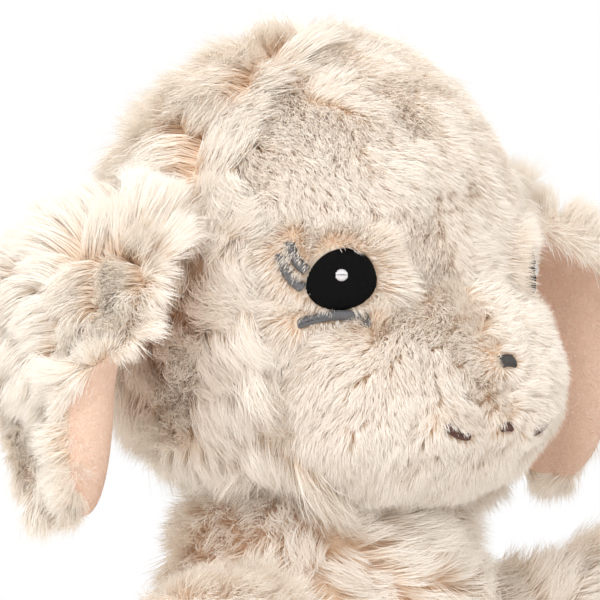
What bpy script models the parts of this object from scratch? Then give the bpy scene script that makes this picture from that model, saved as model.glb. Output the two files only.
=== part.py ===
"""Sitting plush lamb, modelled the way it is sewn.

Furry panels are shells of pile fabric over fibre fill. The head turns and
nods on the ball-shaped top of the body, and the ears, arms, legs and tail
are each stitched on at a root that bends. Metres, +Z up. The lamb faces -Y
and its left side is at +X. The origin is the middle of the flat seat.
"""
import math

import bmesh
import bpy
from mathutils import Vector
from mathutils.bvhtree import BVHTree

# Clearances and cloth
SEAM_GAP = 0.0003
PILE_THICKNESS = 0.005
CUT_OVERRUN = 0.010
MERGE_DISTANCE = 0.00001

# Body: a pear that stands on a flat seat and ends in a ball at the neck
SEAT_RADIUS = 0.038
BELLY_RADIUS = 0.056
BELLY_HEIGHT = 0.035
NECK_PIVOT_HEIGHT = 0.104
NECK_BALL_RADIUS = 0.042
NECK_OPENING_ANGLE = math.radians(30)
PELLET_BAG_TOP = 0.030
SIDE_SEAM_FORWARD = 0.006

# Neck seam: one thread laid in a groove around the ball
NECK_THREAD_RADIUS = 0.0009
NECK_THREAD_ANGLE = math.radians(44)

# Head: a round skull, fuller below its middle, with a broad muzzle. Its middle
# stands above the neck's pivot by the head's rise.
HEAD_RISE = 0.092
SKULL_RADIUS = 0.061
BROW_DEPTH = 0.055
SKULL_RISE = 0.063
SKULL_DROP = 0.062
SKULL_ROUND_ABOVE = 1.95
SKULL_ROUND_BELOW = 3.0
MUZZLE_FORWARD = 0.039
MUZZLE_BELOW = 0.034
MUZZLE_HALF_WIDTH = 0.042
MUZZLE_HALF_DEPTH = 0.029
MUZZLE_HALF_HEIGHT = 0.028
MUZZLE_BLEND = 6.0
FACE_SEAM_BACK = 0.018
FACE_SEAM_LEAN = math.radians(12)

# Eyes, embroidered: places are across (towards the nose) and up from the eye
EYE_AZIMUTH = math.radians(40)
EYE_DROP = 0.0054
EYE_RADIUS = 0.0094
EYE_HEIGHT_BELOW = 0.0068
EYE_DOME = 0.0014
GLINT_RADIUS = 0.0015
GLINT_PLACE = (-0.0003, 0.0024)
GLINT_DOME = 0.0006
THREAD_DOME = 0.0012
STITCH_LIFT = 0.0008
LASH_WIDTH = 0.0025
OUTER_LASH = ((-0.0168, 0.0080), (-0.0148, 0.0006), (-0.0102, -0.0010))
INNER_LASH = ((-0.0142, 0.0112), (-0.0128, 0.0054), (-0.0094, 0.0036))
LID_WIDTH = 0.0023
LOWER_LID = ((-0.0115, -0.0106), (-0.0020, -0.0065), (0.0068, -0.0094))

# Nose and mouth stitches: places are height below the middle of the head
NOSE_DROP = 0.0265
NOSE_HALF_WIDTH = 0.0025
NOSE_WIDTH = 0.0025
MOUTH_DROP = 0.0440
MOUTH_CORNER_AZIMUTH = math.radians(14)
MOUTH_STITCH_LENGTH = 0.0080
MOUTH_STITCH_FALL = 0.0036
MOUTH_STITCH_WIDTH = 0.0021

# Ears: leaf-shaped flaps, pile outside and smooth lining inside. The rear edge
# cups in, and along most of its length the front edge rolls outwards.
EAR_AZIMUTH = math.radians(90)
EAR_ROOT_RISE = 0.011
EAR_PIVOT_STANDOFF = 0.002
EAR_LENGTH = 0.099
EAR_HALF_WIDTH = 0.030
EAR_PILE_THICKNESS = 0.0055
EAR_LINING_THICKNESS = 0.0035
EAR_CUP_ANGLE = math.radians(24)
EAR_ROLL_ANGLE = math.radians(135)
EAR_ROLL_START_SHARE = 0.3
EAR_ROLL_FROM_SHARE = 0.38
EAR_ROLL_FULL_SHARE = 0.68
EAR_START_ANGLE = math.radians(2)
EAR_HANG_ANGLE = math.radians(92)
EAR_BEND_SHARE = 0.6
EAR_LEAN_SHARE = 0.22
EAR_ROOT_WIDTH_SHARE = 0.62
EAR_POINTEDNESS = 0.7

# Limbs: each has an open, stuffed ball at its root, sunk in a socket
LIMB_OPENING_ANGLE = math.radians(35)

# Arms: the shoulder is below the neck's pivot by its drop
SHOULDER_DROP = 0.014
SHOULDER_AZIMUTH = math.radians(72)
ARM_AZIMUTH = math.radians(53)
ARM_RISE_ANGLE = math.radians(5)
ARM_BALL_RADIUS = 0.0175
ARM_WAIST_ANGLE = math.radians(44)
ARM_MIDDLE_AT = 0.024
ARM_MIDDLE_RADIUS = 0.0165
ARM_PAW_AT = 0.053
ARM_PAW_RADIUS = 0.0200
ARM_LENGTH = 0.076

# Legs
HIP_HEIGHT = 0.030
HIP_AZIMUTH = math.radians(32)
LEG_AZIMUTH = math.radians(17)
LEG_RISE_ANGLE = math.radians(-3)
LEG_BALL_RADIUS = 0.022
LEG_WAIST_ANGLE = math.radians(50)
LEG_MIDDLE_AT = 0.028
LEG_MIDDLE_RADIUS = 0.0210
LEG_FOOT_AT = 0.064
LEG_FOOT_RADIUS = 0.0245
LEG_LENGTH = 0.090

# Tail
TAIL_HEIGHT = 0.036
TAIL_RISE_ANGLE = math.radians(-20)
TAIL_BALL_RADIUS = 0.010
TAIL_WAIST_ANGLE = math.radians(48)
TAIL_MIDDLE_AT = 0.014
TAIL_MIDDLE_RADIUS = 0.0095
TAIL_TUFT_AT = 0.026
TAIL_TUFT_RADIUS = 0.0115
TAIL_LENGTH = 0.036

# Counts of facets, across each form and along it
BODY_STEPS = 24
BODY_ARC_POINTS = 5
NECK_THREAD_SIDES = 6
LIMB_STEPS = 14
BALL_SEGMENTS = 30
HEAD_SEGMENTS = 26
HEAD_RINGS = 18
EYE_SEGMENTS = 14
EYE_RINGS = 6
STITCH_SEGMENTS = 8
STITCH_RINGS = 7
EAR_SEGMENTS = 20
EAR_RINGS = 14
EAR_RUN_STEPS = 24
EAR_SECTION_STEPS = 12
SEARCH_STEPS = 40

NECK_PIVOT = Vector((0, 0, NECK_PIVOT_HEIGHT))
HEAD_CENTRE = Vector((0, 0, NECK_PIVOT_HEIGHT + HEAD_RISE))
UP = Vector((0, 0, 1))


def clear_scene():
    for item in list(bpy.data.objects):
        bpy.data.objects.remove(item, do_unlink=True)


def new_collection(name):
    collection = bpy.data.collections.new(name)
    bpy.context.scene.collection.children.link(collection)
    return collection


def material(name, colour, roughness):
    finish = bpy.data.materials.new(name)
    finish.use_nodes = True
    shader = finish.node_tree.nodes["Principled BSDF"]
    shader.inputs["Base Color"].default_value = (*colour, 1)
    shader.inputs["Roughness"].default_value = roughness
    shader.inputs["Metallic"].default_value = 0
    return finish


clear_scene()
PARTS = new_collection("plush_lamb")
CUTTERS = new_collection("cutters")

LONG_PILE = material("long_pile", (0.83, 0.76, 0.68), 0.95)
SHORT_PILE = material("short_pile", (0.85, 0.78, 0.70), 0.95)
EAR_VELOUR = material("ear_velour", (0.88, 0.52, 0.38), 0.85)
BLACK_THREAD = material("black_thread", (0.012, 0.012, 0.014), 0.55)
WHITE_THREAD = material("white_thread", (0.86, 0.86, 0.88), 0.5)
GREY_THREAD = material("grey_thread", (0.16, 0.16, 0.17), 0.5)
BROWN_THREAD = material("brown_thread", (0.075, 0.03, 0.022), 0.6)
CREAM_THREAD = material("cream_thread", (0.78, 0.72, 0.64), 0.6)
FIBRE_FILL = material("fibre_fill", (0.9, 0.9, 0.9), 1.0)
BAG_CLOTH = material("bag_cloth", (0.8, 0.8, 0.78), 0.9)


def place(name, mesh, finish, parent=None, location=(0, 0, 0)):
    """Link a mesh as a named sub-part, in its parent's space."""
    mesh.materials.append(finish)
    item = bpy.data.objects.new(name, mesh)
    PARTS.objects.link(item)
    item.parent = parent
    item.location = location
    return item


def pivot(name, location, parent=None):
    """An empty on a joint's axis, which carries the pieces that move."""
    empty = bpy.data.objects.new(name, None)
    PARTS.objects.link(empty)
    empty.parent = parent
    empty.location = location
    return empty


def cutter(name, mesh, location=(0, 0, 0), lean=0):
    item = bpy.data.objects.new(name, mesh)
    CUTTERS.objects.link(item)
    item.location = location
    item.rotation_euler.x = lean
    item.hide_render = True
    item.display_type = "WIRE"
    return item


def boolean(item, tool, operation="DIFFERENCE"):
    cut = item.modifiers.new(tool.name, "BOOLEAN")
    cut.object = tool
    cut.operation = operation
    cut.solver = "EXACT"


def turned_mesh(name, profile):
    """The outline of a turned piece, as an edge chain in the XZ plane."""
    mesh = bpy.data.meshes.new(name)
    points = [(radius, 0, height) for radius, height in profile]
    chain = [(index, index + 1) for index in range(len(points) - 1)]
    mesh.from_pydata(points, chain, [])
    return mesh


def spin(item, steps):
    screw = item.modifiers.new("turn", "SCREW")
    screw.steps = steps
    screw.render_steps = steps
    screw.use_merge_vertices = True
    screw.merge_threshold = MERGE_DISTANCE
    screw.use_smooth_shade = True


def ball_mesh(name, radius, segments=BALL_SEGMENTS):
    mesh = bpy.data.meshes.new(name)
    form = bmesh.new()
    bmesh.ops.create_uvsphere(form, u_segments=segments, v_segments=segments // 2, radius=radius)
    form.to_mesh(mesh)
    form.free()
    return mesh


def socket_radius(radius):
    """Radius of a faceted ball whose flats still clear a ball of this radius."""
    return (radius + SEAM_GAP) / math.cos(math.pi / BALL_SEGMENTS) ** 2


def block_mesh(name, low, high):
    mesh = bpy.data.meshes.new(name)
    form = bmesh.new()
    bmesh.ops.create_cube(form, size=1)
    for corner in form.verts:
        corner.co = [a + (c + 0.5) * (b - a) for a, b, c in zip(low, high, corner.co)]
    form.to_mesh(mesh)
    form.free()
    return mesh


def shaped_ball(name, across, along, shape):
    """A ball primitive whose unit points are moved by a shape function."""
    mesh = bpy.data.meshes.new(name)
    form = bmesh.new()
    bmesh.ops.create_uvsphere(form, u_segments=across, v_segments=along, radius=1)
    for point in form.verts:
        point.co = shape(point.co.copy())
    bmesh.ops.triangulate(form, faces=form.faces, quad_method="FIXED")
    bmesh.ops.recalc_face_normals(form, faces=form.faces)
    if form.calc_volume(signed=True) < 0:
        bmesh.ops.reverse_faces(form, faces=form.faces)
    form.to_mesh(mesh)
    form.free()
    mesh.shade_smooth()
    return mesh


def ease(share):
    share = min(max(share, 0), 1)
    return share * share * (3 - 2 * share)


def mix(first, second, share):
    return first + (second - first) * share


# Body


def body_radius(height):
    """Radius of the body's pile surface between belly and neck ball."""
    share = (height - BELLY_HEIGHT) / (NECK_PIVOT_HEIGHT - BELLY_HEIGHT)
    return mix(BELLY_RADIUS, NECK_BALL_RADIUS, ease(share))


def body_outline(inset, capped=False):
    """Body outline from the neck down to the seat's middle, set in by inset."""
    outline = []
    spans = BODY_ARC_POINTS - 1
    ball = NECK_BALL_RADIUS - inset
    if capped:
        for share in (0, 0.5):
            angle = NECK_OPENING_ANGLE * share
            outline.append((ball * math.sin(angle), NECK_PIVOT_HEIGHT + ball * math.cos(angle)))
    for index in range(BODY_ARC_POINTS):
        angle = mix(NECK_OPENING_ANGLE, math.pi / 2, index / spans)
        outline.append((ball * math.sin(angle), NECK_PIVOT_HEIGHT + ball * math.cos(angle)))
    rise = NECK_PIVOT_HEIGHT - BELLY_HEIGHT
    for index in range(1, BODY_ARC_POINTS):
        height = NECK_PIVOT_HEIGHT - rise * index / spans
        outline.append((body_radius(height) - inset, height))
    reach = BELLY_RADIUS - SEAT_RADIUS
    for index in range(1, BODY_ARC_POINTS):
        angle = math.pi / 2 * (1 - index / spans)
        radius = SEAT_RADIUS - inset + reach * math.sin(angle)
        height = inset + (BELLY_HEIGHT - inset) * (1 - math.cos(angle))
        outline.append((radius, height))
    outline.append((0, inset))
    return outline


def cut_outline(outline, height, keep_above):
    """Part of an outline above or below a height, closed to the axis there."""
    kept = []
    for above, below in zip(outline, outline[1:]):
        if keep_above and above[1] > height:
            kept.append(above)
        if above[1] > height >= below[1]:
            share = (above[1] - height) / (above[1] - below[1])
            kept.append((mix(above[0], below[0], share), height))
        if not keep_above and below[1] < height:
            kept.append(below)
    if keep_above:
        return kept + [(0, height)]
    return [(0, height)] + kept


def add_body():
    outer = body_outline(0)
    inner = body_outline(PILE_THICKNESS)
    shell = list(reversed(inner)) + outer
    reach = BELLY_RADIUS + CUT_OVERRUN
    top = NECK_PIVOT_HEIGHT + NECK_BALL_RADIUS + CUT_OVERRUN
    low = (-reach, -reach, -CUT_OVERRUN)
    front = block_mesh("front_half", low, (reach, -SIDE_SEAM_FORWARD - SEAM_GAP / 2, top))
    low = (-reach, -SIDE_SEAM_FORWARD + SEAM_GAP / 2, -CUT_OVERRUN)
    back = block_mesh("back_half", low, (reach, reach, top))
    pieces = []
    for name, half in (("body_front_cover", front), ("body_back_cover", back)):
        cover = place(name, turned_mesh(name, shell), LONG_PILE)
        spin(cover, BODY_STEPS)
        boolean(cover, cutter("half_for_" + name, half), "INTERSECT")
        pieces.append(cover)

    filling = body_outline(PILE_THICKNESS + SEAM_GAP, capped=True)
    upper = cut_outline(filling, PELLET_BAG_TOP + SEAM_GAP, True)
    stuffing = place("body_stuffing", turned_mesh("body_stuffing", upper), FIBRE_FILL)
    spin(stuffing, BODY_STEPS)
    lower = cut_outline(filling, PELLET_BAG_TOP, False)
    bag = place("pellet_bag", turned_mesh("pellet_bag", lower), BAG_CLOTH)
    spin(bag, BODY_STEPS)
    return pieces, pieces + [stuffing, bag]


def neck_ring(name, thread_radius):
    """Mesh of a thread ring just under the surface of the neck ball."""
    depth = NECK_THREAD_RADIUS + SEAM_GAP
    reach = NECK_BALL_RADIUS - depth
    middle_radius = reach * math.sin(NECK_THREAD_ANGLE)
    middle_height = reach * math.cos(NECK_THREAD_ANGLE)
    outline = []
    for index in range(NECK_THREAD_SIDES + 1):
        turn = -2 * math.pi * (index % NECK_THREAD_SIDES) / NECK_THREAD_SIDES
        radius = middle_radius + thread_radius * math.cos(turn)
        outline.append((radius, middle_height + thread_radius * math.sin(turn)))
    return turned_mesh(name, outline)


def spin_ring(item):
    spin(item, BODY_STEPS)
    weld = item.modifiers.new("weld", "WELD")
    weld.merge_threshold = MERGE_DISTANCE


def add_neck_thread(covers):
    carrier = pivot("neck_pivot", NECK_PIVOT)
    ring = neck_ring("neck_seam_thread", NECK_THREAD_RADIUS)
    spin_ring(place("neck_seam_thread", ring, CREAM_THREAD, carrier))
    wider_ring = neck_ring("neck_groove", NECK_THREAD_RADIUS + 2 * SEAM_GAP)
    groove = cutter("neck_groove", wider_ring, NECK_PIVOT)
    spin_ring(groove)
    for cover in covers:
        boolean(cover, groove)


# Head


def skull_reach(way):
    """Distance from the head's middle to the skull's surface along a way."""
    depth = BROW_DEPTH if way.y < 0 else SKULL_RADIUS
    level = math.hypot(way.x / SKULL_RADIUS, way.y / depth)
    if way.z > 0:
        upright = way.z / SKULL_RISE
        power = SKULL_ROUND_ABOVE
    else:
        upright = -way.z / SKULL_DROP
        power = SKULL_ROUND_BELOW
    return (level ** power + upright ** power) ** (-1 / power)


def muzzle_reach(way):
    """Distance to the far side of the muzzle along a way, or 0 beside it."""
    radii = (MUZZLE_HALF_WIDTH, MUZZLE_HALF_DEPTH, MUZZLE_HALF_HEIGHT)
    middle = (0, -MUZZLE_FORWARD, -MUZZLE_BELOW)
    a = sum((w / r) ** 2 for w, r in zip(way, radii))
    b = sum(w * m / r ** 2 for w, m, r in zip(way, middle, radii))
    c = sum((m / r) ** 2 for m, r in zip(middle, radii)) - 1
    square = b * b - a * c
    if square <= 0 or b <= 0:
        return 0
    return (b + math.sqrt(square)) / a


def head_reach(way):
    skull = skull_reach(way)
    share = muzzle_reach(way) / skull
    return skull * (1 + share ** MUZZLE_BLEND) ** (1 / MUZZLE_BLEND)


def head_mesh(name, inset):
    """The head's form, set in by inset from the pile's surface."""

    def shape(point):
        way = point.normalized()
        return way * (head_reach(way) - inset)

    return shaped_ball(name, HEAD_SEGMENTS, HEAD_RINGS, shape)


def head_way(azimuth, height):
    """Unit way to the head's surface at an azimuth from the front and a height."""
    low, high = 0, math.pi
    level = Vector((math.sin(azimuth), -math.cos(azimuth), 0))
    for _ in range(SEARCH_STEPS):
        polar = (low + high) / 2
        way = level * math.sin(polar) + UP * math.cos(polar)
        if head_reach(way) * way.z > height:
            low = polar
        else:
            high = polar
    return way


def head_surface():
    """The head's facets, for pieces that lie on them."""
    form = head_mesh("face_form", 0)
    corners = [corner.co.copy() for corner in form.vertices]
    facets = [tuple(facet.vertices) for facet in form.polygons]
    bpy.data.meshes.remove(form)
    return BVHTree.FromPolygons(corners, facets)


def add_head(carrier, neck_socket):
    centre = HEAD_CENTRE - NECK_PIVOT
    reach = SKULL_RADIUS + MUZZLE_FORWARD + MUZZLE_HALF_DEPTH
    low = (-reach, -2 * reach, -2 * reach)
    high = (reach, 2 * reach, 2 * reach)
    front = block_mesh("face_half", low, (reach, -SEAM_GAP / 2, 2 * reach))
    back = block_mesh("crown_half", (-reach, SEAM_GAP / 2, -2 * reach), high)
    seam = HEAD_CENTRE - Vector((0, FACE_SEAM_BACK, 0))
    hollow = cutter("head_hollow", head_mesh("head_hollow", PILE_THICKNESS), HEAD_CENTRE)
    for name, half, finish in (("face_cover", front, SHORT_PILE), ("crown_cover", back, LONG_PILE)):
        cover = place(name, head_mesh(name, 0), finish, carrier, centre)
        boolean(cover, hollow)
        boolean(cover, neck_socket)
        boolean(cover, cutter("half_for_" + name, half, seam, -FACE_SEAM_LEAN), "INTERSECT")
    form = head_mesh("head_stuffing", PILE_THICKNESS + SEAM_GAP)
    stuffing = place("head_stuffing", form, FIBRE_FILL, carrier, centre)
    boolean(stuffing, neck_socket)


def face_patch(surface, side, way, spot, height):
    """Point on the head near a way: towards the nose and up, raised by height."""
    base = way * head_reach(way)
    across = Vector((way.y, -way.x, 0)).normalized()
    upward = way.cross(across).normalized()
    if upward.z < 0:
        upward.negate()
    aim = (base + across * spot[0] + upward * spot[1]).normalized()
    aim.x *= side
    return surface.ray_cast(Vector((0, 0, 0)), aim)[0] + aim * height


def disc_mesh(name, surface, side, way, spot, sizes, dome, lift):
    """A low embroidered mound, flat underneath: sizes are across, up and down."""
    across, above, below = sizes

    def shape(point):
        tall = above if point.y > 0 else below
        place_on_face = (spot[0] + point.x * across, spot[1] + point.y * tall)
        return face_patch(surface, side, way, place_on_face, lift + dome * max(point.z, 0))

    return shaped_ball(name, EYE_SEGMENTS, EYE_RINGS, shape)


def stitch_mesh(name, surface, side, way, path, width):
    """A bar of satin stitch along a bent path of three points."""
    start, middle, end = path

    def shape(point):
        share = (point.z + 1) / 2
        spot = []
        slope = []
        for a, b, c in zip(start, middle, end):
            spot.append((1 - share) ** 2 * a + 2 * share * (1 - share) * b + share ** 2 * c)
            slope.append(2 * (1 - share) * (b - a) + 2 * share * (c - b))
        length = math.hypot(*slope)
        offset = point.x * width / 2
        spot[0] -= slope[1] / length * offset
        spot[1] += slope[0] / length * offset
        return face_patch(surface, side, way, spot, STITCH_LIFT + THREAD_DOME * max(point.y, 0))

    return shaped_ball(name, STITCH_SEGMENTS, STITCH_RINGS, shape)


def add_eyes(carrier, surface):
    eye_way = head_way(EYE_AZIMUTH, -EYE_DROP)
    eye_sizes = (EYE_RADIUS, EYE_RADIUS, EYE_HEIGHT_BELOW)
    glint_sizes = (GLINT_RADIUS, GLINT_RADIUS, GLINT_RADIUS)
    glint_lift = STITCH_LIFT + EYE_DOME + SEAM_GAP
    bars = (
        ("outer_lash_", OUTER_LASH, LASH_WIDTH),
        ("inner_lash_", INNER_LASH, LASH_WIDTH),
        ("lower_lid_", LOWER_LID, LID_WIDTH),
    )
    centre = HEAD_CENTRE - NECK_PIVOT
    for label, side in (("right", -1), ("left", 1)):
        name = "eye_" + label
        eye = disc_mesh(name, surface, side, eye_way, (0, 0), eye_sizes, EYE_DOME, STITCH_LIFT)
        place(name, eye, BLACK_THREAD, carrier, centre)
        name = "eye_glint_" + label
        spot = (surface, side, eye_way, GLINT_PLACE)
        glint = disc_mesh(name, *spot, glint_sizes, GLINT_DOME, glint_lift)
        place(name, glint, WHITE_THREAD, carrier, centre)
        for name, path, width in bars:
            bar = stitch_mesh(name + label, surface, side, eye_way, path, width)
            place(name + label, bar, GREY_THREAD, carrier, centre)


def add_nose_and_mouth(carrier, surface):
    centre = HEAD_CENTRE - NECK_PIVOT
    nose_way = head_way(0, -NOSE_DROP)
    path = ((-NOSE_HALF_WIDTH, 0), (0, NOSE_WIDTH / 4), (NOSE_HALF_WIDTH, 0))
    nose = stitch_mesh("nose_stitch", surface, 1, nose_way, path, NOSE_WIDTH)
    place("nose_stitch", nose, GREY_THREAD, carrier, centre)

    half = MOUTH_STITCH_LENGTH / 4
    path = ((-half, 0), (0, MOUTH_STITCH_WIDTH / 4), (half, 0))
    middle_way = head_way(0, -MOUTH_DROP)
    stitch = stitch_mesh("mouth_centre_stitch", surface, 1, middle_way, path, MOUTH_STITCH_WIDTH)
    place("mouth_centre_stitch", stitch, BROWN_THREAD, carrier, centre)

    half = MOUTH_STITCH_LENGTH / 2
    fall = MOUTH_STITCH_FALL / 2
    path = ((-half, fall), (0, -fall), (half, -fall))
    corner_way = head_way(MOUTH_CORNER_AZIMUTH, -MOUTH_DROP)
    for label, side in (("right", -1), ("left", 1)):
        name = "mouth_corner_" + label
        stitch = stitch_mesh(name, surface, side, corner_way, path, MOUTH_STITCH_WIDTH)
        place(name, stitch, BROWN_THREAD, carrier, centre)


# Ears


def ear_frame():
    """Root of the left ear from the head's middle, with outward and forward ways."""
    way = head_way(EAR_AZIMUTH, EAR_ROOT_RISE)
    outward = Vector((way.x, way.y, 0)).normalized()
    forward = Vector((outward.y, -outward.x, 0))
    level = head_reach(way) * math.hypot(way.x, way.y)
    root = outward * (level + EAR_PIVOT_STANDOFF) + UP * EAR_ROOT_RISE
    return root, outward, forward


def ear_run(share, outward):
    """Middle line of the ear and its outer normal at a share of its length."""
    place_on_run = Vector((0, 0, 0))
    stretch = EAR_LENGTH * share / EAR_RUN_STEPS
    for index in range(EAR_RUN_STEPS):
        part = share * (index + 0.5) / EAR_RUN_STEPS
        drop = mix(EAR_START_ANGLE, EAR_HANG_ANGLE, ease(part / EAR_BEND_SHARE))
        place_on_run += (outward * math.cos(drop) - UP * math.sin(drop)) * stretch
    drop = mix(EAR_START_ANGLE, EAR_HANG_ANGLE, ease(share / EAR_BEND_SHARE))
    return place_on_run, outward * math.sin(drop) + UP * math.cos(drop)


def ear_turn(across, roll):
    """How far the ear's surface has turned at a share of its half width."""
    if across < 0:
        return -EAR_CUP_ANGLE * across
    return roll * ease((across - EAR_ROLL_START_SHARE) / (1 - EAR_ROLL_START_SHARE))


def ear_section(across, roll):
    """Place on the ear's section, along and out of its plane, as shares of half its width."""
    along = 0
    out = 0
    for index in range(EAR_SECTION_STEPS):
        turn = ear_turn(across * (index + 0.5) / EAR_SECTION_STEPS, roll)
        along += math.cos(turn) * across / EAR_SECTION_STEPS
        out += math.sin(turn) * across / EAR_SECTION_STEPS
    return along, out


def ear_mesh(name, side, layer, thickness):
    """Half of the ear's leaf: layer is 1 for the pile side and -1 for the lining."""
    root, outward, forward = ear_frame()
    across_way = (forward - UP * EAR_LEAN_SHARE).normalized()
    root_edge = -outward * (EAR_PIVOT_STANDOFF - SEAM_GAP)

    def shape(point):
        share = (1 - point.z) / 2
        ring = math.sqrt(max(1 - point.z ** 2, 0))
        across = point.x / ring if ring > 0 else 0
        depth = max(point.y * layer, 0) / ring if ring > 0 else 0
        half_width = EAR_HALF_WIDTH * mix(EAR_ROOT_WIDTH_SHARE, 1, ease(2 * share))
        half_width *= ring ** EAR_POINTEDNESS
        line, normal = ear_run(share, outward)
        rolled_share = (share - EAR_ROLL_FROM_SHARE) / (EAR_ROLL_FULL_SHARE - EAR_ROLL_FROM_SHARE)
        roll = EAR_ROLL_ANGLE * ease(rolled_share)
        along, out = ear_section(across, roll)
        turn = ear_turn(across, roll)
        raised = layer * (SEAM_GAP / 2 + thickness * depth * ring)
        facing = normal * math.cos(turn) - across_way * math.sin(turn)
        spot = root_edge + line + (across_way * along + normal * out) * half_width + facing * raised
        return Vector((spot.x * side, spot.y, spot.z))

    return shaped_ball(name, EAR_SEGMENTS, EAR_RINGS, shape)


def add_ears(head):
    root = ear_frame()[0]
    for label, side in (("right", -1), ("left", 1)):
        place_of_root = Vector((root.x * side, root.y, root.z)) + HEAD_CENTRE - NECK_PIVOT
        carrier = pivot("ear_pivot_" + label, place_of_root, head)
        name = "ear_back_" + label
        place(name, ear_mesh(name, side, 1, EAR_PILE_THICKNESS), LONG_PILE, carrier)
        name = "ear_lining_" + label
        place(name, ear_mesh(name, side, -1, EAR_LINING_THICKNESS), EAR_VELOUR, carrier)


# Arms, legs and tail


def limb_outline(sizes, inset, capped, finer=1):
    """Outline of a limb from its tip down to the ball at its root."""
    ball, waist_angle, middle_at, middle_radius, end_at, end_radius, length = sizes
    outline = []
    dome_points = 3 + finer
    for index in range(dome_points):
        angle = math.pi / 2 * index / dome_points
        height = end_at + (length - inset - end_at) * math.cos(angle)
        outline.append(((end_radius - inset) * math.sin(angle), height))
    waist_at = (ball - inset) * math.cos(waist_angle)
    waist_radius = (ball - inset) * math.sin(waist_angle)
    runs = (
        (end_at, end_radius - inset, middle_at, middle_radius - inset, 2 + finer),
        (middle_at, middle_radius - inset, waist_at, waist_radius, 1 + finer),
    )
    for start_at, start_radius, stop_at, stop_radius, count in runs:
        for index in range(count):
            share = index / count
            radius = mix(start_radius, stop_radius, ease(share))
            outline.append((radius, mix(start_at, stop_at, share)))
    ball_points = 4 + finer
    for index in range(ball_points + 1):
        angle = mix(waist_angle, math.pi - LIMB_OPENING_ANGLE, index / ball_points)
        outline.append(((ball - inset) * math.sin(angle), (ball - inset) * math.cos(angle)))
    if capped:
        outline.append((0, inset - ball))
    return outline


def limb_way(azimuth, rise, side):
    level = Vector((side * math.sin(azimuth), -math.cos(azimuth), 0))
    return level * math.cos(rise) + UP * math.sin(rise)


def add_limb(label, sizes, azimuth, height, way, solid=False):
    """A turned limb on a pivot at the body's surface, and its socket's cutter."""
    radius = body_radius(height)
    place_of_root = Vector((math.sin(azimuth) * radius, -math.cos(azimuth) * radius, height))
    carrier = pivot(label + "_pivot", place_of_root)
    turn = way.to_track_quat("Z", "Y").to_euler()
    names = label.split("_")
    side_name = "_" + names[1] if len(names) > 1 else ""
    if solid:
        outline = limb_outline(sizes, 0, True)
        cover = place(label, turned_mesh(label, outline), LONG_PILE, carrier)
    else:
        outer = limb_outline(sizes, 0, False)
        inner = limb_outline(sizes, PILE_THICKNESS, False, 0)
        name = names[0] + "_cover" + side_name
        cover = place(name, turned_mesh(name, outer + list(reversed(inner))), LONG_PILE, carrier)
        filling = limb_outline(sizes, PILE_THICKNESS + SEAM_GAP, True, 0)
        name = names[0] + "_stuffing" + side_name
        stuffing = place(name, turned_mesh(name, filling), FIBRE_FILL, carrier)
        stuffing.rotation_euler = turn
        spin(stuffing, LIMB_STEPS)
    cover.rotation_euler = turn
    spin(cover, LIMB_STEPS)
    socket = ball_mesh(label + "_socket", socket_radius(sizes[0]))
    return cutter(label + "_socket", socket, place_of_root)


covers, body_pieces = add_body()
arm_sizes = (
    ARM_BALL_RADIUS,
    ARM_WAIST_ANGLE,
    ARM_MIDDLE_AT,
    ARM_MIDDLE_RADIUS,
    ARM_PAW_AT,
    ARM_PAW_RADIUS,
    ARM_LENGTH,
)
leg_sizes = (
    LEG_BALL_RADIUS,
    LEG_WAIST_ANGLE,
    LEG_MIDDLE_AT,
    LEG_MIDDLE_RADIUS,
    LEG_FOOT_AT,
    LEG_FOOT_RADIUS,
    LEG_LENGTH,
)
tail_sizes = (
    TAIL_BALL_RADIUS,
    TAIL_WAIST_ANGLE,
    TAIL_MIDDLE_AT,
    TAIL_MIDDLE_RADIUS,
    TAIL_TUFT_AT,
    TAIL_TUFT_RADIUS,
    TAIL_LENGTH,
)
sockets = []
for label, side in (("right", -1), ("left", 1)):
    arm_way = limb_way(ARM_AZIMUTH, ARM_RISE_ANGLE, side)
    shoulder_height = NECK_PIVOT_HEIGHT - SHOULDER_DROP
    sockets.append(add_limb("arm_" + label, arm_sizes, side * SHOULDER_AZIMUTH, shoulder_height, arm_way))
    leg_way = limb_way(LEG_AZIMUTH, LEG_RISE_ANGLE, side)
    sockets.append(add_limb("leg_" + label, leg_sizes, side * HIP_AZIMUTH, HIP_HEIGHT, leg_way))
tail_way = limb_way(math.pi, TAIL_RISE_ANGLE, 1)
sockets.append(add_limb("tail", tail_sizes, math.pi, TAIL_HEIGHT, tail_way, solid=True))
for piece in body_pieces:
    for socket in sockets:
        boolean(piece, socket)
add_neck_thread(covers)

head_pivot = pivot("head_pivot", NECK_PIVOT)
neck_ball = ball_mesh("neck_socket", socket_radius(NECK_BALL_RADIUS))
add_head(head_pivot, cutter("neck_socket", neck_ball, NECK_PIVOT))
face_surface = head_surface()
add_eyes(head_pivot, face_surface)
add_nose_and_mouth(head_pivot, face_surface)
add_ears(head_pivot)
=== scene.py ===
"""Sitting plush lamb: its filling, its pile covers grown strand by strand, its
embroidered face and its lined ears, put together in the order of sewing.
"""
from math import ceil, cos, hypot, pi, radians, sin, sqrt

import bpy
import numpy as np
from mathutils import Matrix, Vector
from mathutils.kdtree import KDTree


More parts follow.
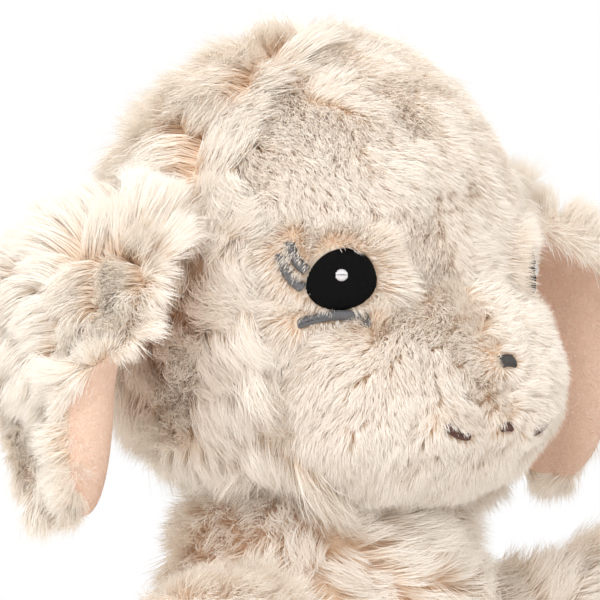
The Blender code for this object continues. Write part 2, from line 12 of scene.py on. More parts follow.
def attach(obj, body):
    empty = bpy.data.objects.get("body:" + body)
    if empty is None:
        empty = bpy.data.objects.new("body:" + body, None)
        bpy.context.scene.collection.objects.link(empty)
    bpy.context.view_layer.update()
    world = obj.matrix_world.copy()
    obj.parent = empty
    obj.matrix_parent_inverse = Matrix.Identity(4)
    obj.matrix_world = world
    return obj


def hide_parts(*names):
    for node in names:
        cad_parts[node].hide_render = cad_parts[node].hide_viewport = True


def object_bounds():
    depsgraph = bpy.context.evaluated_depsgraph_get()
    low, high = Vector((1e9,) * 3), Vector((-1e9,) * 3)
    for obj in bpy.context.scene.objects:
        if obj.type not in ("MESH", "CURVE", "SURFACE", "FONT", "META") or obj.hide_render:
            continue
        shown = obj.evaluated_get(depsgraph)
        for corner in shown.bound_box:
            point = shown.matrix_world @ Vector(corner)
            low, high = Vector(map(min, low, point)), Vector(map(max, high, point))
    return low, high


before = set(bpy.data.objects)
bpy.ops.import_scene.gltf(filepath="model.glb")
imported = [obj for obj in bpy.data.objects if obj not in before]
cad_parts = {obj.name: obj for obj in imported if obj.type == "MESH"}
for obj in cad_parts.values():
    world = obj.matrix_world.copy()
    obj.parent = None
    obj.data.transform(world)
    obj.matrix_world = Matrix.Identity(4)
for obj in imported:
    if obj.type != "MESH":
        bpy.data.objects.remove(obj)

cad_low, cad_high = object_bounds()

# Loose fibre fill. The body, head and limbs are stuffed with white polyester
# fibre, which holds the covers out from inside and shows nowhere.
PILE_THICKNESS = 0.005
CLOTH_THICKNESS = 0.0006
FILL_LUMP_SIZE = 0.022
FILL_LUMP_HEIGHT = 0.0004
FILL_SEED = 3
BODY_FILL_RINGS = (30, 64)
HEAD_FILL_RINGS = (36, 64)
WAVE_COUNT = 9
WAVE_STRETCH = (0.7, 1.5)

BELLY_RADIUS = 0.056
SEAT_RADIUS = 0.038
BELLY_HEIGHT = 0.035
NECK_PIVOT_HEIGHT = 0.104
NECK_BALL_RADIUS = 0.042
HEAD_RISE = 0.092
BODY_TOP_ANGLE = radians(4)
SEAT_RING_SHARES = (0.75, 0.5, 0.25)

SKULL_RADIUS = 0.061
BROW_DEPTH = 0.055
SKULL_RISE = 0.063
SKULL_DROP = 0.062
SKULL_ROUND_ABOVE = 1.95
SKULL_ROUND_BELOW = 3.0
MUZZLE_MIDDLE = np.array((0, -0.039, -0.034))
MUZZLE_RADII = np.array((0.042, 0.029, 0.028))
MUZZLE_BLEND = 6.0

NECK_PIVOT = np.array((0, 0, NECK_PIVOT_HEIGHT))
HEAD_CENTRE = np.array((0, 0, NECK_PIVOT_HEIGHT + HEAD_RISE))
UP = np.array((0.0, 0.0, 1.0))
FAR_AWAY = 1.0
SMALLEST = 1e-12


def mix(first, second, share):
    return first + (second - first) * share


def ease(share):
    share = np.clip(share, 0, 1)
    return share * share * (3 - 2 * share)


def norm(ways, keepdims=False):
    return np.linalg.norm(ways, axis=-1, keepdims=keepdims)


def unit(ways):
    return ways / np.maximum(norm(ways, True), SMALLEST)


def full_turn(count):
    return np.linspace(0, 2 * pi, count, endpoint=False)


def lumps(places, size, seed):
    """Smooth uneven waves over space, about -1 to 1, from a few sines."""
    draws = np.random.default_rng(seed)
    total = np.zeros(places.shape[:-1])
    for _ in range(WAVE_COUNT):
        way = unit(draws.normal(size=3))
        stretch = draws.uniform(*WAVE_STRETCH) * 2 * pi / size
        total += np.sin(places @ way * stretch + draws.uniform(0, 2 * pi))
    return total / sqrt(WAVE_COUNT)


def closed_form(rings):
    """Corners and facets of rings of points, closed to a point at both ends."""
    count, across = rings.shape[:2]
    corners = np.vstack((rings.reshape(-1, 3), rings[0].mean(0), rings[-1].mean(0)))
    facets = []
    top = count * across
    for column in range(across):
        beside = (column + 1) % across
        facets.append((top, column, beside))
        last = (count - 1) * across
        facets.append((last + beside, last + column, top + 1))
        for row in range(count - 1):
            here = row * across
            below = here + across
            facets.append((here + column, below + column, below + beside, here + beside))
    first, second, third = (rings[:-1], rings[1:], np.roll(rings, -1, axis=1)[:-1])
    volume = np.sum((first - corners.mean(0)) * np.cross(second - first, third - first))
    if volume < 0:
        facets = [tuple(reversed(facet)) for facet in facets]
    return corners, facets


def add_object(name, data):
    item = bpy.data.objects.new(name, data)
    bpy.context.scene.collection.objects.link(item)
    return item


def dress(name, mesh, finish, body):
    """A mesh in its material, as a piece that rides on a body."""
    mesh.materials.append(finish)
    piece = add_object(name, mesh)
    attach(piece, body)
    return piece


def make_piece(name, body, slot, finish, corners, facets):
    mesh = bpy.data.meshes.new(name)
    mesh.from_pydata([tuple(corner) for corner in corners], [], facets)
    mesh.validate()
    mesh.shade_smooth()
    return dress(name, mesh, finish, body)


def body_radius(height):
    share = (height - BELLY_HEIGHT) / (NECK_PIVOT_HEIGHT - BELLY_HEIGHT)
    return mix(BELLY_RADIUS, NECK_BALL_RADIUS, ease(share))


def level_rings(radii, heights, across):
    """Rings of points round the upright axis, each from the front on."""
    turns = full_turn(across)
    rings = np.empty((len(radii), across, 3))
    rings[:, :, 0] = np.outer(radii, np.sin(turns))
    rings[:, :, 1] = -np.outer(radii, np.cos(turns))
    rings[:, :, 2] = np.array(heights)[:, None]
    return rings


def body_rings(inset, count, across):
    """Rings down the body's pear, from the neck ball to the flat seat."""
    radii = []
    heights = []
    ball = NECK_BALL_RADIUS - inset
    for angle in np.linspace(BODY_TOP_ANGLE, pi / 2, count // 3, endpoint=False):
        radii.append(ball * sin(angle))
        heights.append(NECK_PIVOT_HEIGHT + ball * cos(angle))
    for height in np.linspace(NECK_PIVOT_HEIGHT, BELLY_HEIGHT, count // 3, endpoint=False):
        radii.append(float(body_radius(height)) - inset)
        heights.append(height)
    for angle in np.linspace(pi / 2, 0, count // 3):
        radii.append(SEAT_RADIUS - inset + (BELLY_RADIUS - SEAT_RADIUS) * sin(angle))
        heights.append(inset + (BELLY_HEIGHT - inset) * (1 - cos(angle)))
    for share in SEAT_RING_SHARES:
        radii.append((SEAT_RADIUS - inset) * share)
        heights.append(inset)
    return level_rings(radii, heights, across)


def skull_reach(ways):
    depth = np.where(ways[..., 1] < 0, BROW_DEPTH, SKULL_RADIUS)
    level = np.hypot(ways[..., 0] / SKULL_RADIUS, ways[..., 1] / depth)
    above = ways[..., 2] > 0
    upright = np.abs(ways[..., 2]) / np.where(above, SKULL_RISE, SKULL_DROP)
    power = np.where(above, SKULL_ROUND_ABOVE, SKULL_ROUND_BELOW)
    return (level ** power + upright ** power) ** (-1 / power)


def muzzle_reach(ways):
    a = np.sum((ways / MUZZLE_RADII) ** 2, axis=-1)
    b = np.sum(ways * MUZZLE_MIDDLE / MUZZLE_RADII ** 2, axis=-1)
    c = np.sum((MUZZLE_MIDDLE / MUZZLE_RADII) ** 2) - 1
    square = b * b - a * c
    hit = (square > 0) & (b > 0)
    return np.where(hit, (b + np.sqrt(np.maximum(square, 0))) / a, 0)


def head_reach(ways):
    """Distance from the head's middle to the pile's surface along unit ways."""
    skull = skull_reach(ways)
    share = muzzle_reach(ways) / skull
    return skull * (1 + share ** MUZZLE_BLEND) ** (1 / MUZZLE_BLEND)


def neck_reach(ways, clearance):
    """Distance from the head's middle down to the neck ball, far away beside it."""
    middle = NECK_PIVOT - HEAD_CENTRE
    toward = ways @ middle
    square = toward ** 2 - middle @ middle + (NECK_BALL_RADIUS + clearance) ** 2
    hit = (square > 0) & (toward > 0)
    return np.where(hit, toward - np.sqrt(np.maximum(square, 0)), FAR_AWAY)


def ball_ways(count, across):
    """Unit ways on rings from straight up to straight down."""
    polar = np.linspace(0, pi, count + 2)[1:-1]
    return level_rings(np.sin(polar), np.cos(polar), across)


def head_rings(inset, count, across, clearance):
    ways = ball_ways(count, across)
    reach = np.minimum(head_reach(ways) - inset(ways), neck_reach(ways, clearance))
    return HEAD_CENTRE + ways * reach[..., None]


def shader_of(finish):
    return finish.node_tree.nodes["Principled BSDF"]


def set_values(node, values):
    for socket, value in values.items():
        node.inputs[socket].default_value = value


def new_finish(name, roughness):
    finish = bpy.data.materials.new(name)
    finish.use_nodes = True
    set_values(shader_of(finish), {"Roughness": roughness})
    return finish, finish.node_tree, shader_of(finish)


def add_node(tree, kind, values=None, **settings):
    """A shader node with its settings, and the values of its free sockets."""
    node = tree.nodes.new("ShaderNode" + kind)
    for setting, value in settings.items():
        setattr(node, setting, value)
    set_values(node, values or {})
    return node


def add_ramp(tree, stops, shades):
    """A colour ramp of two stops, from a deep to a light shade."""
    ramp = add_node(tree, "ValToRGB")
    for element, stop, shade in zip(ramp.color_ramp.elements, stops, shades):
        element.position = stop
        element.color = (*shade, 1)
    return ramp


def wire(tree, *links):
    """Join sockets. Each link is a node and its output, then a node and its input."""
    for source, output, sink, entry in links:
        tree.links.new(source.outputs[output], sink.inputs[entry])


def fibre_waves_group():
    """Fine crossing fibres in object space: a mask of strands and their bump."""
    group = bpy.data.node_groups.new("fibre waves", "ShaderNodeTree")
    for socket, way, kind in (
        ("Scale", "INPUT", "Float"),
        ("Bump", "INPUT", "Float"),
        ("Mask", "OUTPUT", "Float"),
        ("Normal", "OUTPUT", "Vector"),
    ):
        group.interface.new_socket(socket, in_out=way, socket_type="NodeSocket" + kind)
    given = group.nodes.new("NodeGroupInput")
    given_back = group.nodes.new("NodeGroupOutput")
    place = add_node(group, "TexCoord")
    noise = add_node(group, "TexNoise", {"Detail": 6, "Distortion": 1.2})
    bump = add_node(group, "Bump", {"Distance": 0.001})
    wire(
        group,
        (place, "Object", noise, "Vector"),
        (given, "Scale", noise, "Scale"),
        (given, "Bump", bump, "Strength"),
        (noise, "Fac", bump, "Height"),
        (noise, "Fac", given_back, "Mask"),
        (bump, "Normal", given_back, "Normal"),
    )
    return group


FIBRE_WAVES = fibre_waves_group()
FIBRE_STOPS = (0.35, 0.65)


def fibrous_finish(name, shades, roughness, scale, bump):
    """A cloth of tangled fibres, between a deep and a light shade."""
    finish, tree, shader = new_finish(name, roughness)
    waves = add_node(tree, "Group", {"Scale": scale, "Bump": bump}, node_tree=FIBRE_WAVES)
    ramp = add_ramp(tree, FIBRE_STOPS, shades)
    wire(
        tree,
        (waves, "Mask", ramp, "Fac"),
        (ramp, "Color", shader, "Base Color"),
        (waves, "Normal", shader, "Normal"),
    )
    return finish


FILL_FINISH = fibrous_finish(
    "fibre fill", ((0.74, 0.74, 0.75), (0.92, 0.92, 0.92)), roughness=1.0, scale=260, bump=0.8
)


def fill_piece(name, body, node, rings):
    """A lumpy mass of fibre that stands for one of the filling's solids."""
    corners, facets = closed_form(rings)
    swell = lumps(corners, FILL_LUMP_SIZE, FILL_SEED) * FILL_LUMP_HEIGHT - 2 * FILL_LUMP_HEIGHT
    corners = corners + unit(corners - corners.mean(0)) * swell[:, None]
    piece = make_piece(name, body, "fibre_fill", FILL_FINISH, corners, facets)
    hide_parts(node)


FILL_INSET = PILE_THICKNESS + CLOTH_THICKNESS
head_fill_rings = head_rings(lambda ways: FILL_INSET, *HEAD_FILL_RINGS, CLOTH_THICKNESS)
fill_piece("body_fill", "torso", "body_stuffing", body_rings(FILL_INSET, *BODY_FILL_RINGS))
fill_piece("head_fill", "head", "head_stuffing", head_fill_rings)

# Pellet bag. A round bag of plain cloth with plastic pellets lies in the seat,
# under the fibre, so that the lamb sits upright.
BAG_TOP = 0.030
BAG_PELLET_SIZE = 0.005
BAG_PELLET_HEIGHT = 0.0004
BAG_SEED = 5
BAG_INSET = PILE_THICKNESS + 3 * CLOTH_THICKNESS
BAG_FINISH = fibrous_finish(
    "bag cloth", ((0.68, 0.67, 0.64), (0.84, 0.83, 0.80)), roughness=0.9, scale=900, bump=0.5
)

bag_rings = body_rings(BAG_INSET, *BODY_FILL_RINGS)
bag_rings = bag_rings[bag_rings[:, 0, 2] < BAG_TOP]
bag_corners, bag_facets = closed_form(bag_rings)
bag_corners[:, 2] += np.abs(lumps(bag_corners, BAG_PELLET_SIZE, BAG_SEED)) * BAG_PELLET_HEIGHT
pellet_bag = make_piece("pellet_bag_cloth", "torso", "bag_cloth", BAG_FINISH, bag_corners, bag_facets)
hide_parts("pellet_bag")

# Body cover. Long cream pile, about 15 mm, knitted into a tan backing and
# brushed into curled tufts, sewn from a front and a back panel.
BACKING_INSET = PILE_THICKNESS - CLOTH_THICKNESS
BODY_BACKING_RINGS = (60, 96)
SEAT_EDGE = 0.001
NECK_EDGE_RISE = 0.034
PIECE_STRANDS = 36000
STRAND_POINTS = 4
FLOOR_CLEARANCE = 0.0004
NUDGE = 1e-4
LEAN_POWER = 0.7
TAPER = 0.7
TAPER_POWER = 1.5
TUFT_PULL_POWER = 1.3
LOCK_PULL_POWER = 0.8
LENGTH_SPREAD = (0.8, 1.1)
STRAND_SHADE_SPREAD = 0.09
LOCK_SHADE_SPREAD = 0.05
SHADE_WAVE = 0.12
SHADE_WAVE_SIZE = 0.03
SHADE_STEP = 0.02


def triangles_of(facets):
    """Facets of three and four corners as an array of triangles."""
    triangles = [facet[:3] for facet in facets]
    triangles += [(facet[0], facet[2], facet[3]) for facet in facets if len(facet) == 4]
    return np.array(triangles)


def pile_ground(corners, facets):
    """A surface that pile can grow on: corners, triangles and corner normals."""
    triangles = triangles_of(facets)
    first, second, third = (corners[triangles[:, corner]] for corner in range(3))
    across = np.cross(second - first, third - first)
    normals = np.zeros_like(corners)
    for corner in range(3):
        np.add.at(normals, triangles[:, corner], across)
    return corners, triangles, unit(normals)


def scatter(ground, count, draws, weight):
    """Random roots on a ground, with the way up at each."""
    corners, triangles, normals = ground
    first, second, third = (corners[triangles[:, corner]] for corner in range(3))
    area = np.linalg.norm(np.cross(second - first, third - first), axis=1)
    chance = area * weight((first + second + third) / 3)
    picked = triangles[draws.choice(len(triangles), count, p=chance / chance.sum())]
    one = np.sqrt(draws.random(count))
    two = draws.random(count)
    shares = np.stack((1 - one, one * (1 - two), one * two))
    roots = sum(share[:, None] * corners[picked[:, k]] for k, share in enumerate(shares))
    ups = sum(share[:, None] * normals[picked[:, k]] for k, share in enumerate(shares))
    return roots, unit(ups)


def tree_of(places):
    tree = KDTree(len(places))
    for index, place in enumerate(places):
        tree.insert(place, index)
    tree.balance()
    return tree


def thin_out(places, spacing):
    """Order numbers of places that keep a spacing from each other."""
    tree = tree_of(places)
    taken = np.zeros(len(places), bool)
    kept = []
    for index, place in enumerate(places):
        if taken[index]:
            continue
        kept.append(index)
        for _, crowded, _ in tree.find_range(place, spacing):
            taken[crowded] = True
    return np.array(kept)


def nearest(places, centres):
    tree = tree_of(centres)
    return np.array([tree.find(place)[1] for place in places])


def dot(first, second):
    return np.sum(first * second, axis=-1, keepdims=True)


def flat(ways, ups):
    """Ways pressed flat onto a surface."""
    return ways - ups * dot(ways, ups)


def turned(ways, axes, angles):
    """Ways turned about unit axes they are square to."""
    angles = angles[..., None]
    return ways * np.cos(angles) + np.cross(axes, ways) * np.sin(angles)


def strand_paths(roots, ups, ways, lengths, style, draws):
    """Points of every strand from root to tip, before tufts draw together."""
    steps = np.linspace(0, 1, STRAND_POINTS)
    jitter = draws.normal(size=len(roots)) * style["stray"]
    standing = 1 - style["standing"](roots)
    paths = np.empty((STRAND_POINTS, len(roots), 3))
    paths[0] = roots
    side_turn = draws.normal(size=len(roots)) * style["stray"]
    for index in range(1, STRAND_POINTS):
        middle = (steps[index] + steps[index - 1]) / 2
        lean = mix(style["root_lean"], style["tip_lean"], middle ** LEAN_POWER) * standing + jitter
        heading = turned(ways, ups, style["curl"] * middle + side_turn)
        step = ups * np.cos(lean)[:, None] + heading * np.sin(lean)[:, None]
        step = step - UP * style["droop"] * middle
        paths[index] = paths[index - 1] + unit(step) * (lengths / (STRAND_POINTS - 1))[:, None]
    return paths


def strand_mesh(name, paths, ups, style, shades, draws):
    """Mesh of flat tapering fibres, with their shade and height in a UV map."""
    count, strands = paths.shape[:2]
    spans = count - 1
    along = unit(np.diff(paths, axis=0))
    facing = ups + draws.normal(size=(strands, 3)) * style["fibre_turn"]
    corners = np.empty((strands, spans * 2 + 1, 3), np.float32)
    for ring in range(spans):
        across = unit(np.cross(along[ring], facing))
        width = style["radius"] * (1 - TAPER * (ring / spans) ** TAPER_POWER)
        corners[:, 2 * ring] = paths[ring] - across * width
        corners[:, 2 * ring + 1] = paths[ring] + across * width
    corners[:, -1] = paths[-1]

    pattern = []
    for low in range(0, 2 * (spans - 1), 2):
        pattern += [low, low + 1, low + 3, low + 2]
    pattern += [2 * spans - 2, 2 * spans - 1, 2 * spans]
    chart = [(0.5 if corner == 2 * spans else corner % 2, corner // 2) for corner in pattern]
    starts = np.arange(strands)[:, None] * corners.shape[1]
    loops = (starts + np.array(pattern)).ravel().astype(np.int32)
    facet_starts = np.arange(spans) * 4
    facet_starts = (np.arange(strands)[:, None] * len(pattern) + facet_starts).ravel()

    mesh = bpy.data.meshes.new(name)
    mesh.vertices.add(corners.shape[0] * corners.shape[1])
    mesh.vertices.foreach_set("co", corners.ravel())
    mesh.loops.add(len(loops))
    mesh.loops.foreach_set("vertex_index", loops)
    mesh.polygons.add(len(facet_starts))
    mesh.polygons.foreach_set("loop_start", facet_starts.astype(np.int32))
    mesh.polygons.foreach_set("use_smooth", np.ones(len(facet_starts), bool))
    chart = np.array(chart, np.float32)
    chart[:, 0] *= SHADE_STEP
    chart[:, 1] = chart[:, 1] / spans
    shade_map = np.tile(chart, (strands, 1, 1))
    shade_map[:, :, 0] += (shades * (1 - SHADE_STEP)).astype(np.float32)[:, None]
    layer = mesh.uv_layers.new(name="OFBake")
    layer.data.foreach_set("uv", shade_map.ravel())
    mesh.update(calc_edges=True)
    return mesh


def spaced(kind, ground, style, draws):
    """Middles of the tufts or the locks of a pile, with the way up at each."""
    places, ups = scatter(ground, style[kind + "_tries"], draws, style["weight"])
    kept = thin_out(places, style[kind + "_spacing"])
    return places[kept], ups[kept]


def grow_pile(name, body, ground, style, seed):
    """Strands on a ground, drawn together in locks and larger tufts."""
    draws = np.random.default_rng(seed)
    roots, ups = scatter(ground, style["strands"], draws, style["weight"])
    centres, centre_ups = spaced("tuft", ground, style, draws)
    locks, _ = spaced("lock", ground, style, draws)

    swirl = lumps(centres, style["swirl_size"], seed + 1) * style["swirl"]
    swirl = swirl + draws.normal(size=len(centres)) * style["tuft_turn"]
    headings = turned(style["flow"](centres, centre_ups), centre_ups, swirl)
    growth = style["length"](centres) * np.exp(draws.normal(size=len(centres)) * style["uneven"])

    lock = nearest(roots, locks)
    tuft = nearest(locks, centres)[lock]
    lock_turn = draws.normal(size=len(locks)) * style["lock_turn"]
    ways = turned(unit(flat(headings[tuft], ups)), ups, lock_turn[lock])
    own = style["length"](roots) / style["length"](centres)[tuft]
    lengths = growth[tuft] * own * draws.uniform(*LENGTH_SPREAD, len(roots))
    paths = strand_paths(roots, ups, ways, lengths, style, draws)

    from_tuft = flat(roots - centres[tuft], ups)
    from_lock = flat(roots - locks[lock], ups)
    for index, share in enumerate(np.linspace(0, 1, STRAND_POINTS)):
        paths[index] -= from_tuft * style["tuft_pull"] * share ** TUFT_PULL_POWER
        paths[index] -= from_lock * style["lock_pull"] * share ** LOCK_PULL_POWER
    paths[..., 2] = np.maximum(paths[..., 2], FLOOR_CLEARANCE)

    spread = draws.normal(size=len(roots)) * STRAND_SHADE_SPREAD
    spread = spread + draws.normal(size=len(locks))[lock] * LOCK_SHADE_SPREAD
    shades = np.clip(0.5 + spread + SHADE_WAVE * lumps(roots, SHADE_WAVE_SIZE, seed + 2), 0, 1)
    order = np.argsort(style["sort"](roots))
    parts = ceil(len(roots) / PIECE_STRANDS)
    for number, chosen in enumerate(np.array_split(order, parts), 1):
        part_name = f"{name}_{number}" if parts > 1 else name
        mesh = strand_mesh(part_name, paths[:, chosen], ups[chosen], style, shades[chosen], draws)
        dress(part_name, mesh, style["finish"], body)


PILE_ROUGHNESS = 0.7
PILE_GLOSS = 0.25
PILE_STOPS = (0.05, 0.60)


def pile_finish(name, root_shades, tip_shades):
    """Pile fibre, darker at its root. Each pair is for a dark and a light strand."""
    finish, tree, shader = new_finish(name, PILE_ROUGHNESS)
    set_values(shader, {"Specular IOR Level": PILE_GLOSS})
    chart = add_node(tree, "UVMap", uv_map="OFBake")
    split = add_node(tree, "SeparateXYZ")
    blend = add_node(tree, "Mix", data_type="RGBA")
    wire(
        tree,
        (chart, "UV", split, "Vector"),
        (split, "X", blend, "Factor"),
        (blend, "Result", shader, "Base Color"),
    )
    for entry, shades in zip("AB", zip(root_shades, tip_shades)):
        ramp = add_ramp(tree, PILE_STOPS, shades)
        wire(tree, (split, "Y", ramp, "Fac"), (ramp, "Color", blend, entry))
    return finish


BACKING_FINISH = fibrous_finish(
    "pile backing", ((0.88, 0.71, 0.56), (0.94, 0.81, 0.68)), roughness=0.95, scale=420, bump=0.9
)
LONG_PILE_FINISH = pile_finish(
    "long pile",
    ((0.91, 0.74, 0.575), (0.97, 0.86, 0.735)),
    ((0.98, 0.935, 0.88), (0.99, 0.965, 0.93)),
)


def even(value):
    """A measure that is the same at every place."""
    return lambda places: np.full(len(places), value)


def downward(roots, ups):
    """Flow straight down a surface."""
    return unit(flat(-UP, ups) + np.array((0, -NUDGE, 0)))


def round_body(roots):
    return np.arctan2(roots[:, 0], -roots[:, 1])


LONG_PILE = dict(
    slot="long_pile", finish=LONG_PILE_FINISH, strands=110000, radius=0.00013, fibre_turn=0.45,
    tuft_tries=9000, tuft_spacing=0.0085, tuft_turn=radians(32), tuft_pull=0.56,
    lock_tries=60000, lock_spacing=0.0022, lock_turn=radians(10), lock_pull=0.22,
    root_lean=radians(22), tip_lean=radians(72), curl=radians(55), droop=0.10, stray=radians(7),
    swirl=radians(55), swirl_size=0.034, uneven=0.12,
    flow=downward, length=even(0.0155), standing=even(0.0), weight=even(1.0), sort=round_body,
)

body_corners, body_facets = closed_form(body_rings(BACKING_INSET, *BODY_BACKING_RINGS))
body_backing = make_piece("body_backing", "torso", "long_pile", BACKING_FINISH, body_corners, body_facets)
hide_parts("body_front_cover", "body_back_cover")


def past(value, start, blend):
    """0 before a start, easing to 1 a blend further on."""
    return ease((value - start) / blend)


def on_body(places):
    """Pile all over the body, but for its underside and the inside of the neck seam."""
    above_seat = past(places[:, 2] - BACKING_INSET, SEAT_EDGE, blend=0.004)
    return above_seat * (places[:, 2] < NECK_PIVOT_HEIGHT + NECK_EDGE_RISE)


body_ground = pile_ground(body_corners, body_facets)
grow_pile("body_pile", "torso", body_ground, dict(LONG_PILE, weight=on_body), seed=11)

# Arms, legs and tail. Each limb is a sewn, stuffed sock of the same long pile,
# gathered at its root and ladder-stitched to the body, where it bends.
LIMB_TIP_ANGLE = radians(6)
LIMB_ROOT_ANGLE = radians(4)
LIMB_RING_COUNTS = (12, 12, 8, 12)
LIMB_ACROSS = 48
LIMB_BARE_SHARE = 0.45
LIMB_BLEND_SHARE = 0.3
LIMB_PILE_FALL = 0.35
LIMB_TUFT_STRANDS = 5
SIDES = (("right", -1), ("left", 1))

ARM = dict(
    root_height=NECK_PIVOT_HEIGHT - 0.014, root_azimuth=radians(72), azimuth=radians(53),
    rise=radians(5), ball=0.0175, waist_angle=radians(44), middle_at=0.024, middle=0.0165,
    end_at=0.053, end=0.0200, length=0.076, pile_length=0.0155, strands=28000, seed=21,
)
LEG = dict(
    root_height=0.030, root_azimuth=radians(32), azimuth=radians(17),
    rise=radians(-3), ball=0.022, waist_angle=radians(50), middle_at=0.028, middle=0.0210,
    end_at=0.064, end=0.0245, length=0.090, pile_length=0.0155, strands=40000, seed=31,
)
TAIL = dict(
    root_height=0.036, root_azimuth=pi, azimuth=pi,
    rise=radians(-20), ball=0.010, waist_angle=radians(48), middle_at=0.014, middle=0.0095,
    end_at=0.026, end=0.0115, length=0.036, pile_length=0.012, strands=9000, seed=40,
)


def limb_profile(limb, inset):
    """Radii and distances along a limb, from its tip to the ball at its root."""
    end = limb["end"] - inset
    middle = limb["middle"] - inset
    ball = limb["ball"] - inset
    tip, upper, lower, root = LIMB_RING_COUNTS
    profile = []
    for angle in np.linspace(LIMB_TIP_ANGLE, pi / 2, tip, endpoint=False):
        at = limb["end_at"] + (limb["length"] - inset - limb["end_at"]) * cos(angle)
        profile.append((end * sin(angle), at))
    for share in np.linspace(0, 1, upper, endpoint=False):
        profile.append((mix(end, middle, ease(share)), mix(limb["end_at"], limb["middle_at"], share)))
    waist = ball * sin(limb["waist_angle"])
    waist_at = ball * cos(limb["waist_angle"])
    for share in np.linspace(0, 1, lower, endpoint=False):
        profile.append((mix(middle, waist, ease(share)), mix(limb["middle_at"], waist_at, share)))
    for angle in np.linspace(limb["waist_angle"], pi - LIMB_ROOT_ANGLE, root):
        profile.append((ball * sin(angle), ball * cos(angle)))
    return np.array(profile)


def level_way(azimuth):
    return np.array((sin(azimuth), -cos(azimuth), 0))


def limb_place(limb, side):
    """Root point and way of a limb. Side is 1 for the lamb's left and -1 for its right."""
    height = limb["root_height"]
    root = level_way(side * limb["root_azimuth"]) * float(body_radius(height)) + UP * height
    level = level_way(side * limb["azimuth"])
    return root, level * cos(limb["rise"]) + UP * sin(limb["rise"])


def limb_rings(limb, side, inset):
    root, way = limb_place(limb, side)
    across = unit(np.cross(way, UP))
    other = np.cross(across, way)
    turns = full_turn(LIMB_ACROSS)
    circle = np.outer(np.cos(turns), across) + np.outer(np.sin(turns), other)
    profile = limb_profile(limb, inset)
    return root + profile[:, 1, None, None] * way + profile[:, 0, None, None] * circle[None]


def sew_limb(label, limb, side, nodes):
    """Backing cloth, fibre fill and pile of a limb."""
    root, way = limb_place(limb, side)
    corners, facets = closed_form(limb_rings(limb, side, BACKING_INSET))
    backing = make_piece(label + "_backing", label, "long_pile", BACKING_FINISH, corners, facets)
    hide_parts(nodes[0])
    if len(nodes) > 1:
        name = label.replace("_", "_fill_")
        fill_piece(name, label, nodes[1], limb_rings(limb, side, FILL_INSET))

    def along_limb(places):
        return (places - root) @ way

    def beyond_root(places):
        ball = limb["ball"]
        return past(along_limb(places), -ball * LIMB_BARE_SHARE, ball * LIMB_BLEND_SHARE)

    def toward_tip(roots, ups):
        return unit(flat(way - UP * LIMB_PILE_FALL, ups) + UP * NUDGE)

    strands = limb["strands"]
    style = dict(
        LONG_PILE, strands=strands, tuft_tries=strands // LIMB_TUFT_STRANDS, lock_tries=strands,
        length=even(limb["pile_length"]), weight=beyond_root, flow=toward_tip, sort=along_limb,
    )
    grow_pile(label + "_pile", label, pile_ground(corners, facets), style, limb["seed"] + side)


for side_name, side in SIDES:
    for kind, limb in (("arm", ARM), ("leg", LEG)):
        nodes = (f"{kind}_cover_{side_name}", f"{kind}_stuffing_{side_name}")
        sew_limb(f"{kind}_{side_name}", limb, side, nodes)
sew_limb("tail", TAIL, 1, ("tail",))

# Neck seam. One strong two-ply cream thread, ladder-stitched round the ball at
# the top of the body, draws the head's opening closed onto it.
NECK_THREAD_RADIUS = 0.0009
NECK_THREAD_DEPTH = NECK_THREAD_RADIUS + 0.0003
NECK_THREAD_ANGLE = radians(44)
NECK_THREAD_TWISTS = 44
NECK_THREAD_STEPS = 880
PLY_SIDES = 8
THREAD_GRAIN = 4200
THREAD_BUMP = 0.35
OFF_UP = UP + np.array((0.013, 0.021, 0))


def thread_finish(name, colour, roughness, tone=0.6, sheen=0.1):
    """Smooth filament thread, with fine fibres and a soft gloss."""
    deep = tuple(part * tone for part in colour)
    finish = fibrous_finish(name, (deep, colour), roughness, THREAD_GRAIN, THREAD_BUMP)
    set_values(shader_of(finish), {"Sheen Weight": sheen})
    return finish


def tube_mesh(paths, radius, closed):
    """Corners and facets of tubes along paths, an array of path by point."""
    count = paths.shape[1]
    if closed:
        along = unit(np.roll(paths, -1, axis=1) - np.roll(paths, 1, axis=1))
    else:
        along = unit(np.gradient(paths, axis=1))
    across = unit(np.cross(along, OFF_UP))
    other = np.cross(along, across)
    turns = np.arange(PLY_SIDES) * 2 * pi / PLY_SIDES
    circle = across[:, :, None] * np.cos(turns)[:, None] + other[:, :, None] * np.sin(turns)[:, None]
    radii = np.broadcast_to(radius, paths.shape[:2])
    corners = (paths[:, :, None] + circle * radii[:, :, None, None]).reshape(-1, 3)
    facets = []
    for number in range(len(paths)):
        start = number * count * PLY_SIDES
        for row in range(count if closed else count - 1):
            here = start + row * PLY_SIDES
            ahead = start + (row + 1) % count * PLY_SIDES
            for side in range(PLY_SIDES):
                beside = (side + 1) % PLY_SIDES
                facets.append((here + side, here + beside, ahead + beside, ahead + side))
        if not closed:
            last = start + (count - 1) * PLY_SIDES
            facets.append(tuple(start + side for side in reversed(range(PLY_SIDES))))
            facets.append(tuple(last + side for side in range(PLY_SIDES)))
    return corners, facets


